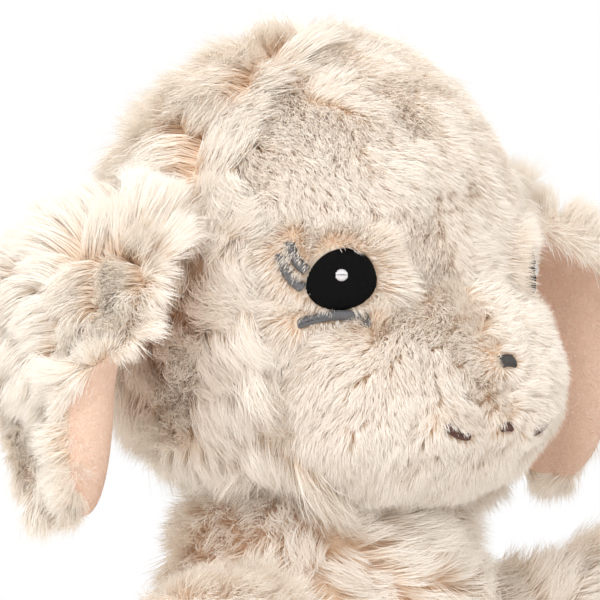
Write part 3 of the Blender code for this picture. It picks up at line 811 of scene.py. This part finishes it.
CREAM_THREAD_FINISH = thread_finish("cream thread", (0.80, 0.73, 0.64), 0.6, tone=0.75)
ring_reach = NECK_BALL_RADIUS - NECK_THREAD_DEPTH
turns = full_turn(NECK_THREAD_STEPS)
plies = []
for half_turn in (0, pi):
    twist = turns * NECK_THREAD_TWISTS + half_turn
    swing = ring_reach * sin(NECK_THREAD_ANGLE) + np.cos(twist) * NECK_THREAD_RADIUS / 2
    height = ring_reach * cos(NECK_THREAD_ANGLE) + np.sin(twist) * NECK_THREAD_RADIUS / 2
    plies.append(np.stack((swing * np.sin(turns), -swing * np.cos(turns), height), axis=-1))
thread_corners, thread_facets = tube_mesh(NECK_PIVOT + np.array(plies), NECK_THREAD_RADIUS / 2, True)
neck_thread = make_piece(
    "neck_thread", "neck", "cream_thread", CREAM_THREAD_FINISH, thread_corners, thread_facets
)
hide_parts("neck_seam_thread")

# Head cover. The face is a panel of short dense pile and the back of the head
# one of long tufts, seamed from the crown down behind the cheeks.
FACE_SEAM_BACK = 0.018
FACE_SEAM_LEAN = radians(12)
SEAM_OVERLAP = 0.004
SEAM_EDGE = 0.001
STITCH_SPREAD = 0.0075
STITCH_SINK = 0.0004
STITCH_EDGE = 0.0002
FURROW_DEPTH = 0.0022
FURROW_HALF_WIDTH = 0.0028
LIP_DEPTH = 0.0022
LIP_HALF_WIDTH = 0.0026
LIP_REACH = 0.024
LIP_BLEND = 0.010

EYE_AZIMUTH = radians(40)
EYE_DROP = 0.0054
EYE_RADIUS = 0.0094
EYE_HEIGHT_BELOW = 0.0068
EYE_DOME = 0.0014
STITCH_LIFT = 0.0008
OUTER_LASH = ((-0.0168, 0.0080), (-0.0148, 0.0006), (-0.0102, -0.0010))
INNER_LASH = ((-0.0142, 0.0112), (-0.0128, 0.0054), (-0.0094, 0.0036))
LOWER_LID = ((-0.0115, -0.0106), (-0.0020, -0.0065), (0.0068, -0.0094))
LASH_WIDTH = 0.0025
LID_WIDTH = 0.0023
NOSE_DROP = 0.0265
NOSE_HALF_WIDTH = 0.0025
NOSE_WIDTH = 0.0025
MOUTH_DROP = 0.0440
MOUTH_CORNER_AZIMUTH = radians(14)
MOUTH_STITCH_LENGTH = 0.0080
MOUTH_STITCH_FALL = 0.0036
MOUTH_STITCH_WIDTH = 0.0021
HEAD_BACKING_RINGS = (150, 260)
SEARCH_STEPS = 40
BAR_STEPS = 9
EYE_NEARBY = 4 * EYE_RADIUS


def head_way(azimuth, height):
    """Unit way from the head's middle to its surface, at an azimuth and a height."""
    low, high = 0.0, pi
    level = level_way(azimuth)
    for _ in range(SEARCH_STEPS):
        polar = (low + high) / 2
        way = level * sin(polar) + UP * cos(polar)
        if float(head_reach(way)) * way[2] > height:
            low = polar
        else:
            high = polar
    return way


def face_frame(azimuth, drop):
    """Middle of a place on the left half of the face, with its ways towards the nose and up."""
    way = head_way(azimuth, -drop)
    inward = unit(np.array((way[1], -way[0], 0)))
    upward = unit(np.cross(way, inward))
    if upward[2] < 0:
        upward = -upward
    return way * float(head_reach(way)), inward, upward


def bend(path, shares):
    """Points on a bent path of three points."""
    start, middle, end = (np.array(point) for point in path)
    shares = np.asarray(shares)[:, None]
    return (1 - shares) ** 2 * start + 2 * shares * (1 - shares) * middle + shares ** 2 * end


EYE_FRAME = face_frame(EYE_AZIMUTH, EYE_DROP)
NOSE_FRAME = face_frame(0, NOSE_DROP)
MOUTH_FRAME = face_frame(0, MOUTH_DROP)
CORNER_FRAME = face_frame(MOUTH_CORNER_AZIMUTH, MOUTH_DROP)
NOSE_PATH = ((-NOSE_HALF_WIDTH, 0), (0, NOSE_WIDTH / 4), (NOSE_HALF_WIDTH, 0))
CENTRE_PATH = ((-MOUTH_STITCH_LENGTH / 4, 0), (0, MOUTH_STITCH_WIDTH / 4), (MOUTH_STITCH_LENGTH / 4, 0))
half, fall = MOUTH_STITCH_LENGTH / 2, MOUTH_STITCH_FALL / 2
CORNER_PATH = ((-half, fall), (0, -fall), (half, -fall))
EYE_BARS = {
    "outer_lash": (EYE_FRAME, OUTER_LASH, LASH_WIDTH),
    "inner_lash": (EYE_FRAME, INNER_LASH, LASH_WIDTH),
    "lower_lid": (EYE_FRAME, LOWER_LID, LID_WIDTH),
}
MOUTH_BARS = {
    "nose": (NOSE_FRAME, NOSE_PATH, NOSE_WIDTH),
    "centre": (MOUTH_FRAME, CENTRE_PATH, MOUTH_STITCH_WIDTH),
    "corner": (CORNER_FRAME, CORNER_PATH, MOUTH_STITCH_WIDTH),
}


def from_bars(local, bars):
    gaps = []
    for (base, inward, upward), path, width in bars.values():
        for point in bend(path, np.linspace(0, 1, BAR_STEPS)):
            spot = base + inward * point[0] + upward * point[1]
            gaps.append(norm(local - spot) - width / 2)
    return np.maximum(np.min(gaps, axis=0), 0)


def left_half(places):
    """Places from the head's middle, mirrored onto its left half."""
    local = places - HEAD_CENTRE
    return np.concatenate((np.abs(local[..., :1]), local[..., 1:]), axis=-1)


def from_eyes(places):
    """Distance of places on the head from the nearest eye, lash or lid."""
    local = left_half(places)
    base, inward, upward = EYE_FRAME
    across = (local - base) @ inward
    rise = (local - base) @ upward
    tall = np.where(rise > 0, EYE_RADIUS, EYE_HEIGHT_BELOW)
    away = norm(local - base)
    gap = (np.hypot(across / EYE_RADIUS, rise / tall) - 1) * EYE_RADIUS
    gap = np.maximum(np.where(away < EYE_NEARBY, gap, away), 0)
    return np.minimum(gap, from_bars(local, EYE_BARS))


def beside_nose(places):
    """1 on the nose's side of each eye, 0 on its outer side."""
    base, inward, _ = EYE_FRAME
    return past((left_half(places) - base) @ inward, start=0.004, blend=0.004)


def from_mouth(places):
    return from_bars(left_half(places), MOUTH_BARS)


def face_creases(ways):
    """How far the furrow under the nose and the line of the mouth sink in."""
    places = ways * head_reach(ways)[..., None]
    aside, height = places[..., 0], places[..., 2]
    between = past(height, -MOUTH_DROP, blend=0.004) * past(-height, NOSE_DROP, blend=0.003)
    furrow = FURROW_DEPTH * np.exp(-((aside / FURROW_HALF_WIDTH) ** 2)) * between
    fall = np.abs(height + MOUTH_DROP) / LIP_HALF_WIDTH
    lip = LIP_DEPTH * np.exp(-(fall ** 2)) * ease((LIP_REACH - np.abs(aside)) / LIP_BLEND)
    return np.where(ways[..., 1] < 0, furrow + lip, 0)


def head_inset(ways):
    places = HEAD_CENTRE + ways * head_reach(ways)[..., None]
    cover = ease(np.minimum(from_eyes(places), from_mouth(places)) / STITCH_SPREAD)
    return mix(STITCH_SINK, BACKING_INSET, cover) + face_creases(ways) * cover


def behind_seam(places):
    """Distance behind the seam between the face and the back of the head."""
    local = places - HEAD_CENTRE
    lean = FACE_SEAM_LEAN
    return (local[..., 1] + FACE_SEAM_BACK) * cos(lean) - local[..., 2] * sin(lean)


def away_from_neck(places):
    return norm(places - NECK_PIVOT) - NECK_BALL_RADIUS


FACE_BACKING_FINISH = fibrous_finish(
    "face backing", ((0.92, 0.78, 0.63), (0.96, 0.86, 0.75)), roughness=0.95, scale=420, bump=0.9
)
head_form = closed_form(head_rings(head_inset, *HEAD_BACKING_RINGS, 0))
head_backing = make_piece("head_backing", "head", "short_pile", FACE_BACKING_FINISH, *head_form)
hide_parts("face_cover", "crown_cover")
head_ground = pile_ground(*head_form)

FACE_PILE_LENGTH = 0.0066
EYE_PILE_LENGTH = 0.0041
MOUTH_PILE_LENGTH = 0.0040
OUTER_EYE_TRIM = 0.007
INNER_EYE_TRIM = 0.004
MOUTH_TRIM = 0.008
BRIDGE_PILE_EXTRA = 0.0050
BRIDGE_CLEARANCE = 0.0012
SEAM_PILE_EXTRA = 0.35
FACE_WAVE = 0.10
FACE_WAVE_SIZE = 0.014
FACE_WAVE_SEED = 7
CROWN_EYE_GAP = 0.004
CROWN_FLOW = np.array((0, 0.35, -0.9))
CROWN_FAN = np.array((6, 4, -2))
SEAM_BRUSH = 0.8
NAP_PARTING = np.array((0, -0.066, -0.014))
PARTING_BRUSH = 0.25
MUZZLE_BRUSH = 1.2
CHEEK_BRUSH = 0.8
CHEEK_BRUSH_LOSS = 0.35
BROW_BRUSH = np.array((0, -1.2, 0))
BROW_HEIGHT = 0.045
MIDLINE_HALF_WIDTH = 0.006
EYE_BRUSH = 1.2
OVER_EYE_LOSS = 0.7
OVER_EYE_HEIGHT = 0.004
OUTER_EYE_STANDING = 0.6
SHORT_PILE_FINISH = pile_finish(
    "short pile",
    ((0.94, 0.80, 0.65), (0.975, 0.885, 0.78)),
    ((0.98, 0.93, 0.875), (0.99, 0.96, 0.92)),
)


def near(distance, reach, edge):
    """1 close by, easing to 0 at edge times the reach."""
    return ease(edge - distance / reach)


def height_of(places):
    return places[:, 2]


def on_face(places):
    clear = np.minimum(from_eyes(places), from_mouth(places)) > STITCH_EDGE
    return clear * (behind_seam(places) < SEAM_EDGE) * (away_from_neck(places) > -SEAM_EDGE)


def on_crown(places):
    clear = from_eyes(places) > CROWN_EYE_GAP
    return clear * (behind_seam(places) > -SEAM_OVERLAP) * (away_from_neck(places) > -SEAM_EDGE)


def face_length(places):
    """Short round the stitches, longer on the bridge of the nose and at the seam."""
    eyes = from_eyes(places)
    inner = beside_nose(places)
    trim = mix(OUTER_EYE_TRIM, INNER_EYE_TRIM, inner)
    by_eyes = mix(EYE_PILE_LENGTH, FACE_PILE_LENGTH, ease(eyes / trim))
    by_mouth = mix(MOUTH_PILE_LENGTH, FACE_PILE_LENGTH, ease(from_mouth(places) / MOUTH_TRIM))
    waves = 1 + FACE_WAVE * lumps(places, FACE_WAVE_SIZE, FACE_WAVE_SEED)
    rise = (left_half(places) - EYE_FRAME[0]) @ EYE_FRAME[2]
    at_height = near(-rise, reach=0.004, edge=1.5)
    bridge = BRIDGE_PILE_EXTRA * inner * at_height * near(eyes, reach=0.005, edge=2.2)
    seam = 1 + SEAM_PILE_EXTRA * past(behind_seam(places), start=-0.014, blend=0.014)
    return (np.minimum(by_eyes, by_mouth) + bridge * (eyes > BRIDGE_CLEARANCE)) * waves * seam


def down_the_face(roots, ups):
    """Nap of the face, brushed forward over the brow, down the cheeks and round the eyes."""
    local = roots - HEAD_CENTRE
    away = local - NAP_PARTING
    by_nose = near(norm(away, True), reach=0.020, edge=1.7)
    outward = np.array((1, 0, 0)) * np.clip(local[:, :1] / MIDLINE_HALF_WIDTH, -1, 1)
    wish = unit(away) * PARTING_BRUSH + outward * by_nose * MUZZLE_BRUSH
    wish = wish - UP * (CHEEK_BRUSH - CHEEK_BRUSH_LOSS * by_nose)
    wish = wish + BROW_BRUSH * ease(local[:, 2:] / BROW_HEIGHT)
    eye = np.tile(EYE_FRAME[0], (len(local), 1))
    eye[:, 0] *= np.sign(local[:, 0])
    from_eye = local - eye
    by_eye = near(norm(from_eye, True), reach=0.019, edge=1)
    by_eye = by_eye * (1 - OVER_EYE_LOSS * ease(from_eye[:, 2:] / OVER_EYE_HEIGHT))
    return unit(flat(wish + unit(from_eye) * by_eye * EYE_BRUSH, ups))


def by_the_eyes(roots):
    """Pile stands up round the eyes, so that none of it hangs over them."""
    standing = mix(OUTER_EYE_STANDING, 1.0, beside_nose(roots))
    return standing * near(from_eyes(roots), reach=0.007, edge=1.3)


def down_the_crown(roots, ups):
    """Nap of the back of the head, fanned out downwards and forward over the seam."""
    wish = CROWN_FLOW + (roots - HEAD_CENTRE) * CROWN_FAN
    wish[:, 1] -= SEAM_BRUSH * near(behind_seam(roots), reach=0.012, edge=1)
    return unit(flat(wish, ups))


FACE_PILE = dict(
    LONG_PILE, slot="short_pile", finish=SHORT_PILE_FINISH, strands=200000, radius=0.00012,
    tuft_spacing=0.0042, tuft_turn=radians(12), tuft_pull=0.10,
    lock_tries=90000, lock_spacing=0.0010, lock_turn=radians(9),
    root_lean=radians(12), tip_lean=radians(60), curl=radians(8), droop=0.15, stray=radians(10),
    swirl=radians(34), swirl_size=0.022, uneven=0.05,
    flow=down_the_face, length=face_length, standing=by_the_eyes, weight=on_face, sort=height_of,
)
CROWN_PILE = dict(
    LONG_PILE, strands=150000, tuft_spacing=0.0105, tuft_turn=radians(28), tuft_pull=0.46,
    curl=radians(75), swirl=radians(54),
    flow=down_the_crown, length=even(0.0165), weight=on_crown, sort=height_of,
)
grow_pile("face_pile", "head", head_ground, FACE_PILE, seed=51)
grow_pile("crown_pile", "head", head_ground, CROWN_PILE, seed=61)

# Embroidery. Eyes, lashes, lower lids, nose and mouth are filled with satin
# stitch: smooth threads side by side, drawn tight through the face cloth.
THREAD_PITCH = 0.00036
THREAD_RADIUS = 0.00024
STITCH_STEPS = 9
STITCH_END_POWER = 8
BAR_LENGTH_STEPS = 20
BAR_SLOPE_STEP = 0.01
BAR_END_WIDTH = 0.45
BAR_END_GROWTH = 3
BAR_SLANT = 0.25
EYE_SLANT = 0.1
GLINT_RADIUS = 0.0015
GLINT_PLACE = (-0.0003, 0.0024)
GLINT_DOME = 0.0006
GLINT_LIFT = STITCH_LIFT + EYE_DOME + THREAD_RADIUS
THREAD_DOME = 0.0009
BLACK_THREAD = thread_finish("black thread", (0.003, 0.003, 0.0035), 0.8, sheen=0.0)
set_values(shader_of(BLACK_THREAD), {"Specular IOR Level": 0.15})
GREY_THREAD = thread_finish("grey thread", (0.19, 0.19, 0.205), 0.38)
DARK_GREY_THREAD = thread_finish("dark grey thread", (0.062, 0.055, 0.052), 0.6)
BROWN_THREAD = thread_finish("brown thread", (0.13, 0.052, 0.038), 0.6)
WHITE_THREAD = thread_finish("white thread", (0.88, 0.87, 0.90), 0.5, tone=0.85)


def on_head(face, side, spots, heights):
    """Points over the face at spots towards the nose and up from a place on it."""
    base, inward, upward = face
    aims = unit(base + spots[..., :1] * inward + spots[..., 1:2] * upward)
    points = aims * (head_reach(aims) + heights)[..., None]
    points[..., 0] *= side
    return HEAD_CENTRE + points


def sunk_ends(run):
    """How far a thread's ends dip into the cloth."""
    return np.abs(run) ** STITCH_END_POWER * THREAD_RADIUS * 2


def satin_disc(side, middle, radii, slant, lift, dome):
    """Threads that fill a rounded shape at the eye: radii are across, up and down."""
    across, above, below = radii
    count = round(2 * across / THREAD_PITCH)
    paths = []
    for number in range(count):
        place = (number + 0.5) / count * 2 - 1
        half = sqrt(1 - place * place)
        run = np.linspace(1, -1, STITCH_STEPS)
        rise = np.where(run > 0, above, below) * run * half
        spots = np.stack((place * across + rise * slant, rise), axis=-1) + np.array(middle)
        bulge = np.sqrt(np.maximum(1 - place * place - (run * half) ** 2, 0))
        paths.append(on_head(EYE_FRAME, side, spots, lift + dome * bulge - sunk_ends(run)))
    return tube_mesh(np.array(paths), THREAD_RADIUS, False)


def satin_bar(side, face, path, width):
    """Threads laid square across a bent path, arched over its middle."""
    length = norm(np.diff(bend(path, np.linspace(0, 1, BAR_LENGTH_STEPS)), axis=0)).sum()
    count = round(length / THREAD_PITCH)
    shares = (np.arange(count) + 0.5) / count
    slope = unit(bend(path, shares + BAR_SLOPE_STEP) - bend(path, shares - BAR_SLOPE_STEP))
    square = np.stack((-slope[:, 1], slope[:, 0]), axis=-1)
    run = np.linspace(-1, 1, STITCH_STEPS)
    to_end = np.sqrt(np.minimum(shares, 1 - shares))
    narrow = np.minimum(1, BAR_END_WIDTH + BAR_END_GROWTH * to_end)
    reach = run[None, :, None] * (width / 2 * narrow)[:, None, None]
    spots = bend(path, shares)[:, None] + square[:, None] * reach + slope[:, None] * reach * BAR_SLANT
    heights = STITCH_LIFT + THREAD_DOME * (1 - run ** 2) - sunk_ends(run)
    points = on_head(face, side, spots, np.broadcast_to(heights, spots.shape[:2]))
    return tube_mesh(points, THREAD_RADIUS, False)


def embroider(name, slot, finish, node, form):
    piece = make_piece(name, "head", slot, finish, *form)
    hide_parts(node)


for side_name, side in SIDES:
    radii = (EYE_RADIUS, EYE_RADIUS, EYE_HEIGHT_BELOW)
    form = satin_disc(side, (0, 0), radii, EYE_SLANT, STITCH_LIFT, EYE_DOME)
    embroider(f"eye_satin_{side_name}", "black_thread", BLACK_THREAD, f"eye_{side_name}", form)
    form = satin_disc(side, GLINT_PLACE, (GLINT_RADIUS,) * 3, 0, GLINT_LIFT, GLINT_DOME)
    embroider(f"glint_satin_{side_name}", "white_thread", WHITE_THREAD, f"eye_glint_{side_name}", form)
    for bar, measures in EYE_BARS.items():
        form = satin_bar(side, *measures)
        embroider(f"{bar}_satin_{side_name}", "grey_thread", GREY_THREAD, f"{bar}_{side_name}", form)
    form = satin_bar(side, *MOUTH_BARS["corner"])
    embroider(f"mouth_satin_{side_name}", "brown_thread", BROWN_THREAD, f"mouth_corner_{side_name}", form)
form = satin_bar(1, *MOUTH_BARS["nose"])
embroider("nose_satin", "grey_thread", DARK_GREY_THREAD, "nose_stitch", form)
form = satin_bar(1, *MOUTH_BARS["centre"])
embroider("mouth_centre_satin", "brown_thread", BROWN_THREAD, "mouth_centre_stitch", form)

# Ears. Each is a leaf of long pile lined with smooth peach velour, lightly
# padded, stitched on at its root, and rolled outwards along its front edge.
EAR_AZIMUTH = radians(90)
EAR_ROOT_RISE = 0.011
EAR_ROOT_GAP = 0.0003
EAR_LENGTH = 0.099
EAR_HALF_WIDTH = 0.030
EAR_PILE_THICKNESS = 0.0055
EAR_LINING_THICKNESS = 0.0035
EAR_CUP_ANGLE = radians(24)
EAR_ROLL_ANGLE = radians(135)
EAR_ROLL_START_SHARE = 0.3
EAR_ROLL_FROM_SHARE = 0.38
EAR_ROLL_FULL_SHARE = 0.68
EAR_START_ANGLE = radians(2)
EAR_HANG_ANGLE = radians(92)
EAR_BEND_SHARE = 0.6
EAR_LEAN_SHARE = 0.22
EAR_ROOT_WIDTH_SHARE = 0.62
EAR_POINTEDNESS = 0.7
EAR_BACKING_SHARE = 0.18
EAR_ROWS = 60
EAR_ACROSS = 96
EAR_STEPS = 48


def ear_mid_surface(across, share):
    """Place and facing at shares across and along the left ear, and how wide it is there."""
    way = head_way(EAR_AZIMUTH, EAR_ROOT_RISE)
    outward = unit(np.array((way[0], way[1], 0)))
    forward = np.array((outward[1], -outward[0], 0))
    level = float(head_reach(way)) * hypot(way[0], way[1])
    root = HEAD_CENTRE + outward * (level + EAR_ROOT_GAP) + UP * EAR_ROOT_RISE
    across_way = unit(forward - UP * EAR_LEAN_SHARE)

    def drop_at(part):
        return mix(EAR_START_ANGLE, EAR_HANG_ANGLE, ease(part / EAR_BEND_SHARE))[..., None]

    line = np.zeros(share.shape + (3,))
    for index in range(EAR_STEPS):
        drop = drop_at(share * (index + 0.5) / EAR_STEPS)
        step = (EAR_LENGTH * share / EAR_STEPS)[..., None]
        line += (outward * np.cos(drop) - UP * np.sin(drop)) * step
    drop = drop_at(share)
    normal = outward * np.sin(drop) + UP * np.cos(drop)

    ring = np.sqrt(np.maximum(1 - (1 - 2 * share) ** 2, 0))
    half_width = EAR_HALF_WIDTH * mix(EAR_ROOT_WIDTH_SHARE, 1, ease(2 * share))
    half_width = (half_width * ring ** EAR_POINTEDNESS)[..., None]
    rolled = (share - EAR_ROLL_FROM_SHARE) / (EAR_ROLL_FULL_SHARE - EAR_ROLL_FROM_SHARE)
    roll = EAR_ROLL_ANGLE * ease(rolled)

    def turn_at(place):
        front = roll * ease((place - EAR_ROLL_START_SHARE) / (1 - EAR_ROLL_START_SHARE))
        return np.where(place < 0, -EAR_CUP_ANGLE * place, front)

    along = np.zeros(share.shape)
    out = np.zeros(share.shape)
    for index in range(EAR_STEPS):
        turn = turn_at(across * (index + 0.5) / EAR_STEPS)
        along += np.cos(turn) * across / EAR_STEPS
        out += np.sin(turn) * across / EAR_STEPS
    turn = turn_at(across)[..., None]
    spot = root + line + (across_way * along[..., None] + normal * out[..., None]) * half_width
    facing = normal * np.cos(turn) - across_way * np.sin(turn)
    return spot, facing, ring


def ear_layer(side, layer, thickness, sink):
    """Rings of one half of the ear's thickness: layer 1 is the pile side."""
    share = (1 - np.cos(np.linspace(0, pi, EAR_ROWS + 2)[1:-1])) / 2
    turns = full_turn(EAR_ACROSS)
    across = np.broadcast_to(np.cos(turns), (EAR_ROWS, EAR_ACROSS))
    depth = np.maximum(np.sin(turns) * layer, 0)
    share = np.broadcast_to(share[:, None], across.shape)
    spot, facing, ring = ear_mid_surface(across, share)
    raised = layer * np.maximum(thickness * depth * ring - sink, 0)
    rings = spot + facing * raised[..., None]
    rings[..., 0] *= side
    return rings


VELOUR_FINISH = fibrous_finish(
    "ear velour", ((0.88, 0.59, 0.46), (0.94, 0.70, 0.57)), roughness=0.85, scale=1200, bump=0.8
)
set_values(shader_of(VELOUR_FINISH), {"Sheen Weight": 0.08, "Sheen Roughness": 0.4})

EAR_PILE = dict(
    LONG_PILE, strands=64000, tuft_tries=5000, tuft_turn=radians(28), lock_tries=24000,
    swirl=radians(50), sort=height_of,
)
EAR_FRINGE = dict(
    EAR_PILE, strands=15000, fibre_turn=1.2, tuft_tries=2500, tuft_spacing=0.0050, tuft_pull=0.12,
    lock_tries=6000, lock_pull=0.20, tip_lean=radians(66), curl=radians(20), stray=radians(15),
    swirl=radians(25),
)
EAR_PILE_LENGTH = 0.0152
EAR_PILE_EXTRA = 0.0012
EAR_PILE_FAN = 1.2
EAR_PILE_FALL = 0.3
EAR_PILE_LIFT = 0.0012
EAR_GRID_SHARES = np.linspace(0.02, 0.99, 70)
EAR_GRID_ACROSS = np.linspace(-0.99, 0.98, 60)
EAR_STAR = np.array((0.094, -0.008, 0.193))
EAR_STAR_REACH = 0.046
EAR_STAR_BRUSH = 1.2
EAR_STAR_STANDING = 0.18
EAR_STAR_STANDING_EXTRA = 0.20
FRINGE_STRIP = np.array((0.86, 1.0))
FRINGE_OUTWARD = np.array(((0.15,), (1.0,)))
FRINGE_UPWARD = np.array(((1.0,), (0.5,)))
FRINGE_ROOT_LENGTH = 0.0125
FRINGE_TIP_LENGTH = 0.0100
FRINGE_REACH = 0.060


def ear_grid(across):
    """Places on a grid over the left ear, and their facings."""
    shares, acrosses = np.meshgrid(EAR_GRID_SHARES, across, indexing="ij")
    return ear_mid_surface(acrosses, shares)[:2]


def grid_ground(grids, ups):
    """A surface that pile can grow on, made of grids of places."""
    triangles = []
    start = 0
    for rows, columns, _ in (grid.shape for grid in grids):
        here = start + (np.arange(rows - 1)[:, None] * columns + np.arange(columns - 1)).ravel()
        opposite = here + columns + 1
        triangles.append(np.stack((here, here + 1, opposite), axis=1))
        triangles.append(np.stack((here, opposite, here + columns), axis=1))
        start += rows * columns
    flattened = ([part.reshape(-1, 3) for part in parts] for parts in (grids, triangles, ups))
    return tuple(np.vstack(parts) for parts in flattened)


def sew_ear(side_name, side):
    """Velour lining, backing cloth, pile and edge fringe of an ear."""
    body = "ear_" + side_name
    lining_form = closed_form(ear_layer(side, -1, EAR_LINING_THICKNESS, 0))
    lining = make_piece(f"ear_velour_{side_name}", body, "ear_velour", VELOUR_FINISH, *lining_form)
    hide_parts(f"ear_lining_{side_name}")
    sink = EAR_PILE_THICKNESS * (1 - EAR_BACKING_SHARE)
    backing_form = closed_form(ear_layer(side, 1, EAR_PILE_THICKNESS, sink))
    backing = make_piece(f"ear_backing_{side_name}", body, "long_pile", BACKING_FINISH, *backing_form)
    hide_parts(f"ear_back_{side_name}")

    mirror = np.array((side, 1, 1))
    star = EAR_STAR * mirror
    spot, facing = ear_grid(EAR_GRID_ACROSS)
    skin = (spot + facing * EAR_PILE_LIFT) * mirror
    root = skin[0].mean(0)
    tip = skin[-1].mean(0)

    def from_star(roots, ups):
        """Brushed out like a star from the bend of the ear, and down to its tip."""
        away = roots - star
        wish = unit(tip - root + (roots - (root + tip) / 2) * EAR_PILE_FAN) - UP * EAR_PILE_FALL
        by_star = near(norm(away, True), EAR_STAR_REACH, edge=1.3)
        return unit(flat(mix(wish, unit(away) * EAR_STAR_BRUSH, by_star), ups))

    def at_star(roots):
        above = past(roots[:, 2], star[2], blend=0.010)
        standing = EAR_STAR_STANDING + EAR_STAR_STANDING_EXTRA * above
        return near(norm(roots - star), EAR_STAR_REACH, edge=1.2) * standing

    def ear_length(roots):
        return EAR_PILE_LENGTH + EAR_PILE_EXTRA * past(roots[:, 2], star[2], blend=0.012)

    def fringe_length(roots):
        return mix(FRINGE_ROOT_LENGTH, FRINGE_TIP_LENGTH, ease(norm(roots - root) / FRINGE_REACH))

    style = dict(EAR_PILE, flow=from_star, standing=at_star, length=ear_length)
    ground = grid_ground([skin], [facing * mirror])
    grow_pile(f"ear_pile_{side_name}", body, ground, style, seed=71 + side)

    strips = []
    strip_ups = []
    for edge in (-1.0, 1.0):
        spot, facing = ear_grid(edge * FRINGE_STRIP)
        outer = unit(spot[:, 1:] - spot[:, :1])
        strips.append(spot * mirror)
        strip_ups.append(unit(outer * FRINGE_OUTWARD + facing * FRINGE_UPWARD) * mirror)
    style = dict(EAR_FRINGE, flow=from_star, length=fringe_length)
    grow_pile(f"ear_fringe_{side_name}", body, grid_ground(strips, strip_ups), style, seed=75 + side)


for side_name, side in SIDES:
    sew_ear(side_name, side)

# Studio. A pale floor under soft, even light from a large window to the upper
# left and a paler sky all round, against white.
CAMERA_DISTANCE = 1.15
PHOTO_SCALE = 0.00028
PHOTO_PIXELS = 600
HEAD_PIXEL = (322, 258)
CAMERA_AZIMUTH = radians(-45)
CAMERA_RISE = radians(2)
SENSOR_WIDTH = 0.036
FLOOR_REACH = 6.0
FLOOR_GAP = 0.0005
SHADOW_START = 0.28
SHADOW_REACH = 0.7
LAMP_SIZE = 0.9
LAMP_COLOUR = (0.955, 0.985, 1.0)
PAPER_COLOUR = (0.86, 0.86, 0.86, 1)
SKY_COLOUR = (1.0, 0.935, 0.86, 1)
SKY_STRENGTH = 0.83
WHITE = (1, 1, 1, 1)


def aim(item, place, target):
    item.location = place
    item.rotation_euler = (Vector(target) - Vector(place)).to_track_quat("-Z", "Y").to_euler()


scene = bpy.context.scene
back = level_way(CAMERA_AZIMUTH) * cos(CAMERA_RISE) + UP * sin(CAMERA_RISE)
right = unit(np.cross(UP, back))
above = np.cross(back, right)
offset = (np.array((PHOTO_PIXELS / 2, PHOTO_PIXELS / 2)) - HEAD_PIXEL) * PHOTO_SCALE
target = HEAD_CENTRE + right * offset[0] - above * offset[1]
lens_data = bpy.data.cameras.new("studio_camera")
lens_data.sensor_width = SENSOR_WIDTH * 1000
lens_data.lens = SENSOR_WIDTH * 1000 * CAMERA_DISTANCE / (PHOTO_PIXELS * PHOTO_SCALE)
lens_data.clip_start = 0.01
scene.camera = add_object("studio_camera", lens_data)
aim(scene.camera, target + back * CAMERA_DISTANCE, target)

for name, toward, aside, up, power in (
    ("window_light", 1.0, -0.25, 0.60, 8.3),
    ("top_light", -0.3, 0.0, 1.3, 4.0),
):
    data = bpy.data.lights.new(name, "AREA")
    data.shape = "DISK"
    data.size = LAMP_SIZE
    data.energy = power
    data.color = LAMP_COLOUR
    place = HEAD_CENTRE + back * toward + right * aside + UP * up
    aim(add_object(name, data), place, HEAD_CENTRE)

floor_mesh = bpy.data.meshes.new("studio_floor")
floor_corners = np.array(((-1, -1, 0), (1, -1, 0), (1, 1, 0), (-1, 1, 0))) * FLOOR_REACH
floor_mesh.from_pydata(floor_corners.tolist(), [], [(0, 1, 2, 3)])
floor = add_object("studio_floor", floor_mesh)
floor.location.z = min(cad_low.z, 0) - FLOOR_GAP

paper, tree, shader = new_finish("pale paper", 0.8)
set_values(shader, {"Base Color": PAPER_COLOUR})
rays = add_node(tree, "LightPath")
place = add_node(tree, "TexCoord")
span = add_node(tree, "VectorMath", operation="LENGTH")
far = add_node(tree, "MapRange", {"From Min": SHADOW_START, "From Max": SHADOW_REACH})
seen = add_node(tree, "Math", operation="MULTIPLY")
plain = add_node(tree, "Emission")
blend = add_node(tree, "MixShader")
wire(
    tree,
    (place, "Object", span, 0),
    (span, "Value", far, "Value"),
    (far, "Result", seen, 0),
    (rays, "Is Camera Ray", seen, 1),
    (seen, "Value", blend, "Fac"),
    (shader, "BSDF", blend, 1),
    (plain, "Emission", blend, 2),
    (blend, "Shader", tree.nodes["Material Output"], "Surface"),
)
floor_mesh.materials.append(paper)

scene.world = bpy.data.worlds.new("studio_sky")
scene.world.use_nodes = True
tree = scene.world.node_tree
sky = tree.nodes["Background"]
tint = add_node(tree, "Mix", {"A": SKY_COLOUR, "B": WHITE}, data_type="RGBA")
rays = add_node(tree, "LightPath")
first = add_node(tree, "Math", operation="MAXIMUM")
second = add_node(tree, "Math", operation="MAXIMUM")
strength = add_node(tree, "MapRange", {"To Min": SKY_STRENGTH, "To Max": 1.0})
wire(
    tree,
    (rays, "Is Camera Ray", first, 0),
    (rays, "Is Glossy Ray", first, 1),
    (first, "Value", second, 0),
    (rays, "Is Transmission Ray", second, 1),
    (second, "Value", strength, "Value"),
    (strength, "Result", sky, "Strength"),
    (second, "Value", tint, "Factor"),
    (tint, "Result", sky, "Color"),
)
scene.view_settings.view_transform = "Standard"
scene.cycles.max_bounces = 16
scene.cycles.diffuse_bounces = 12
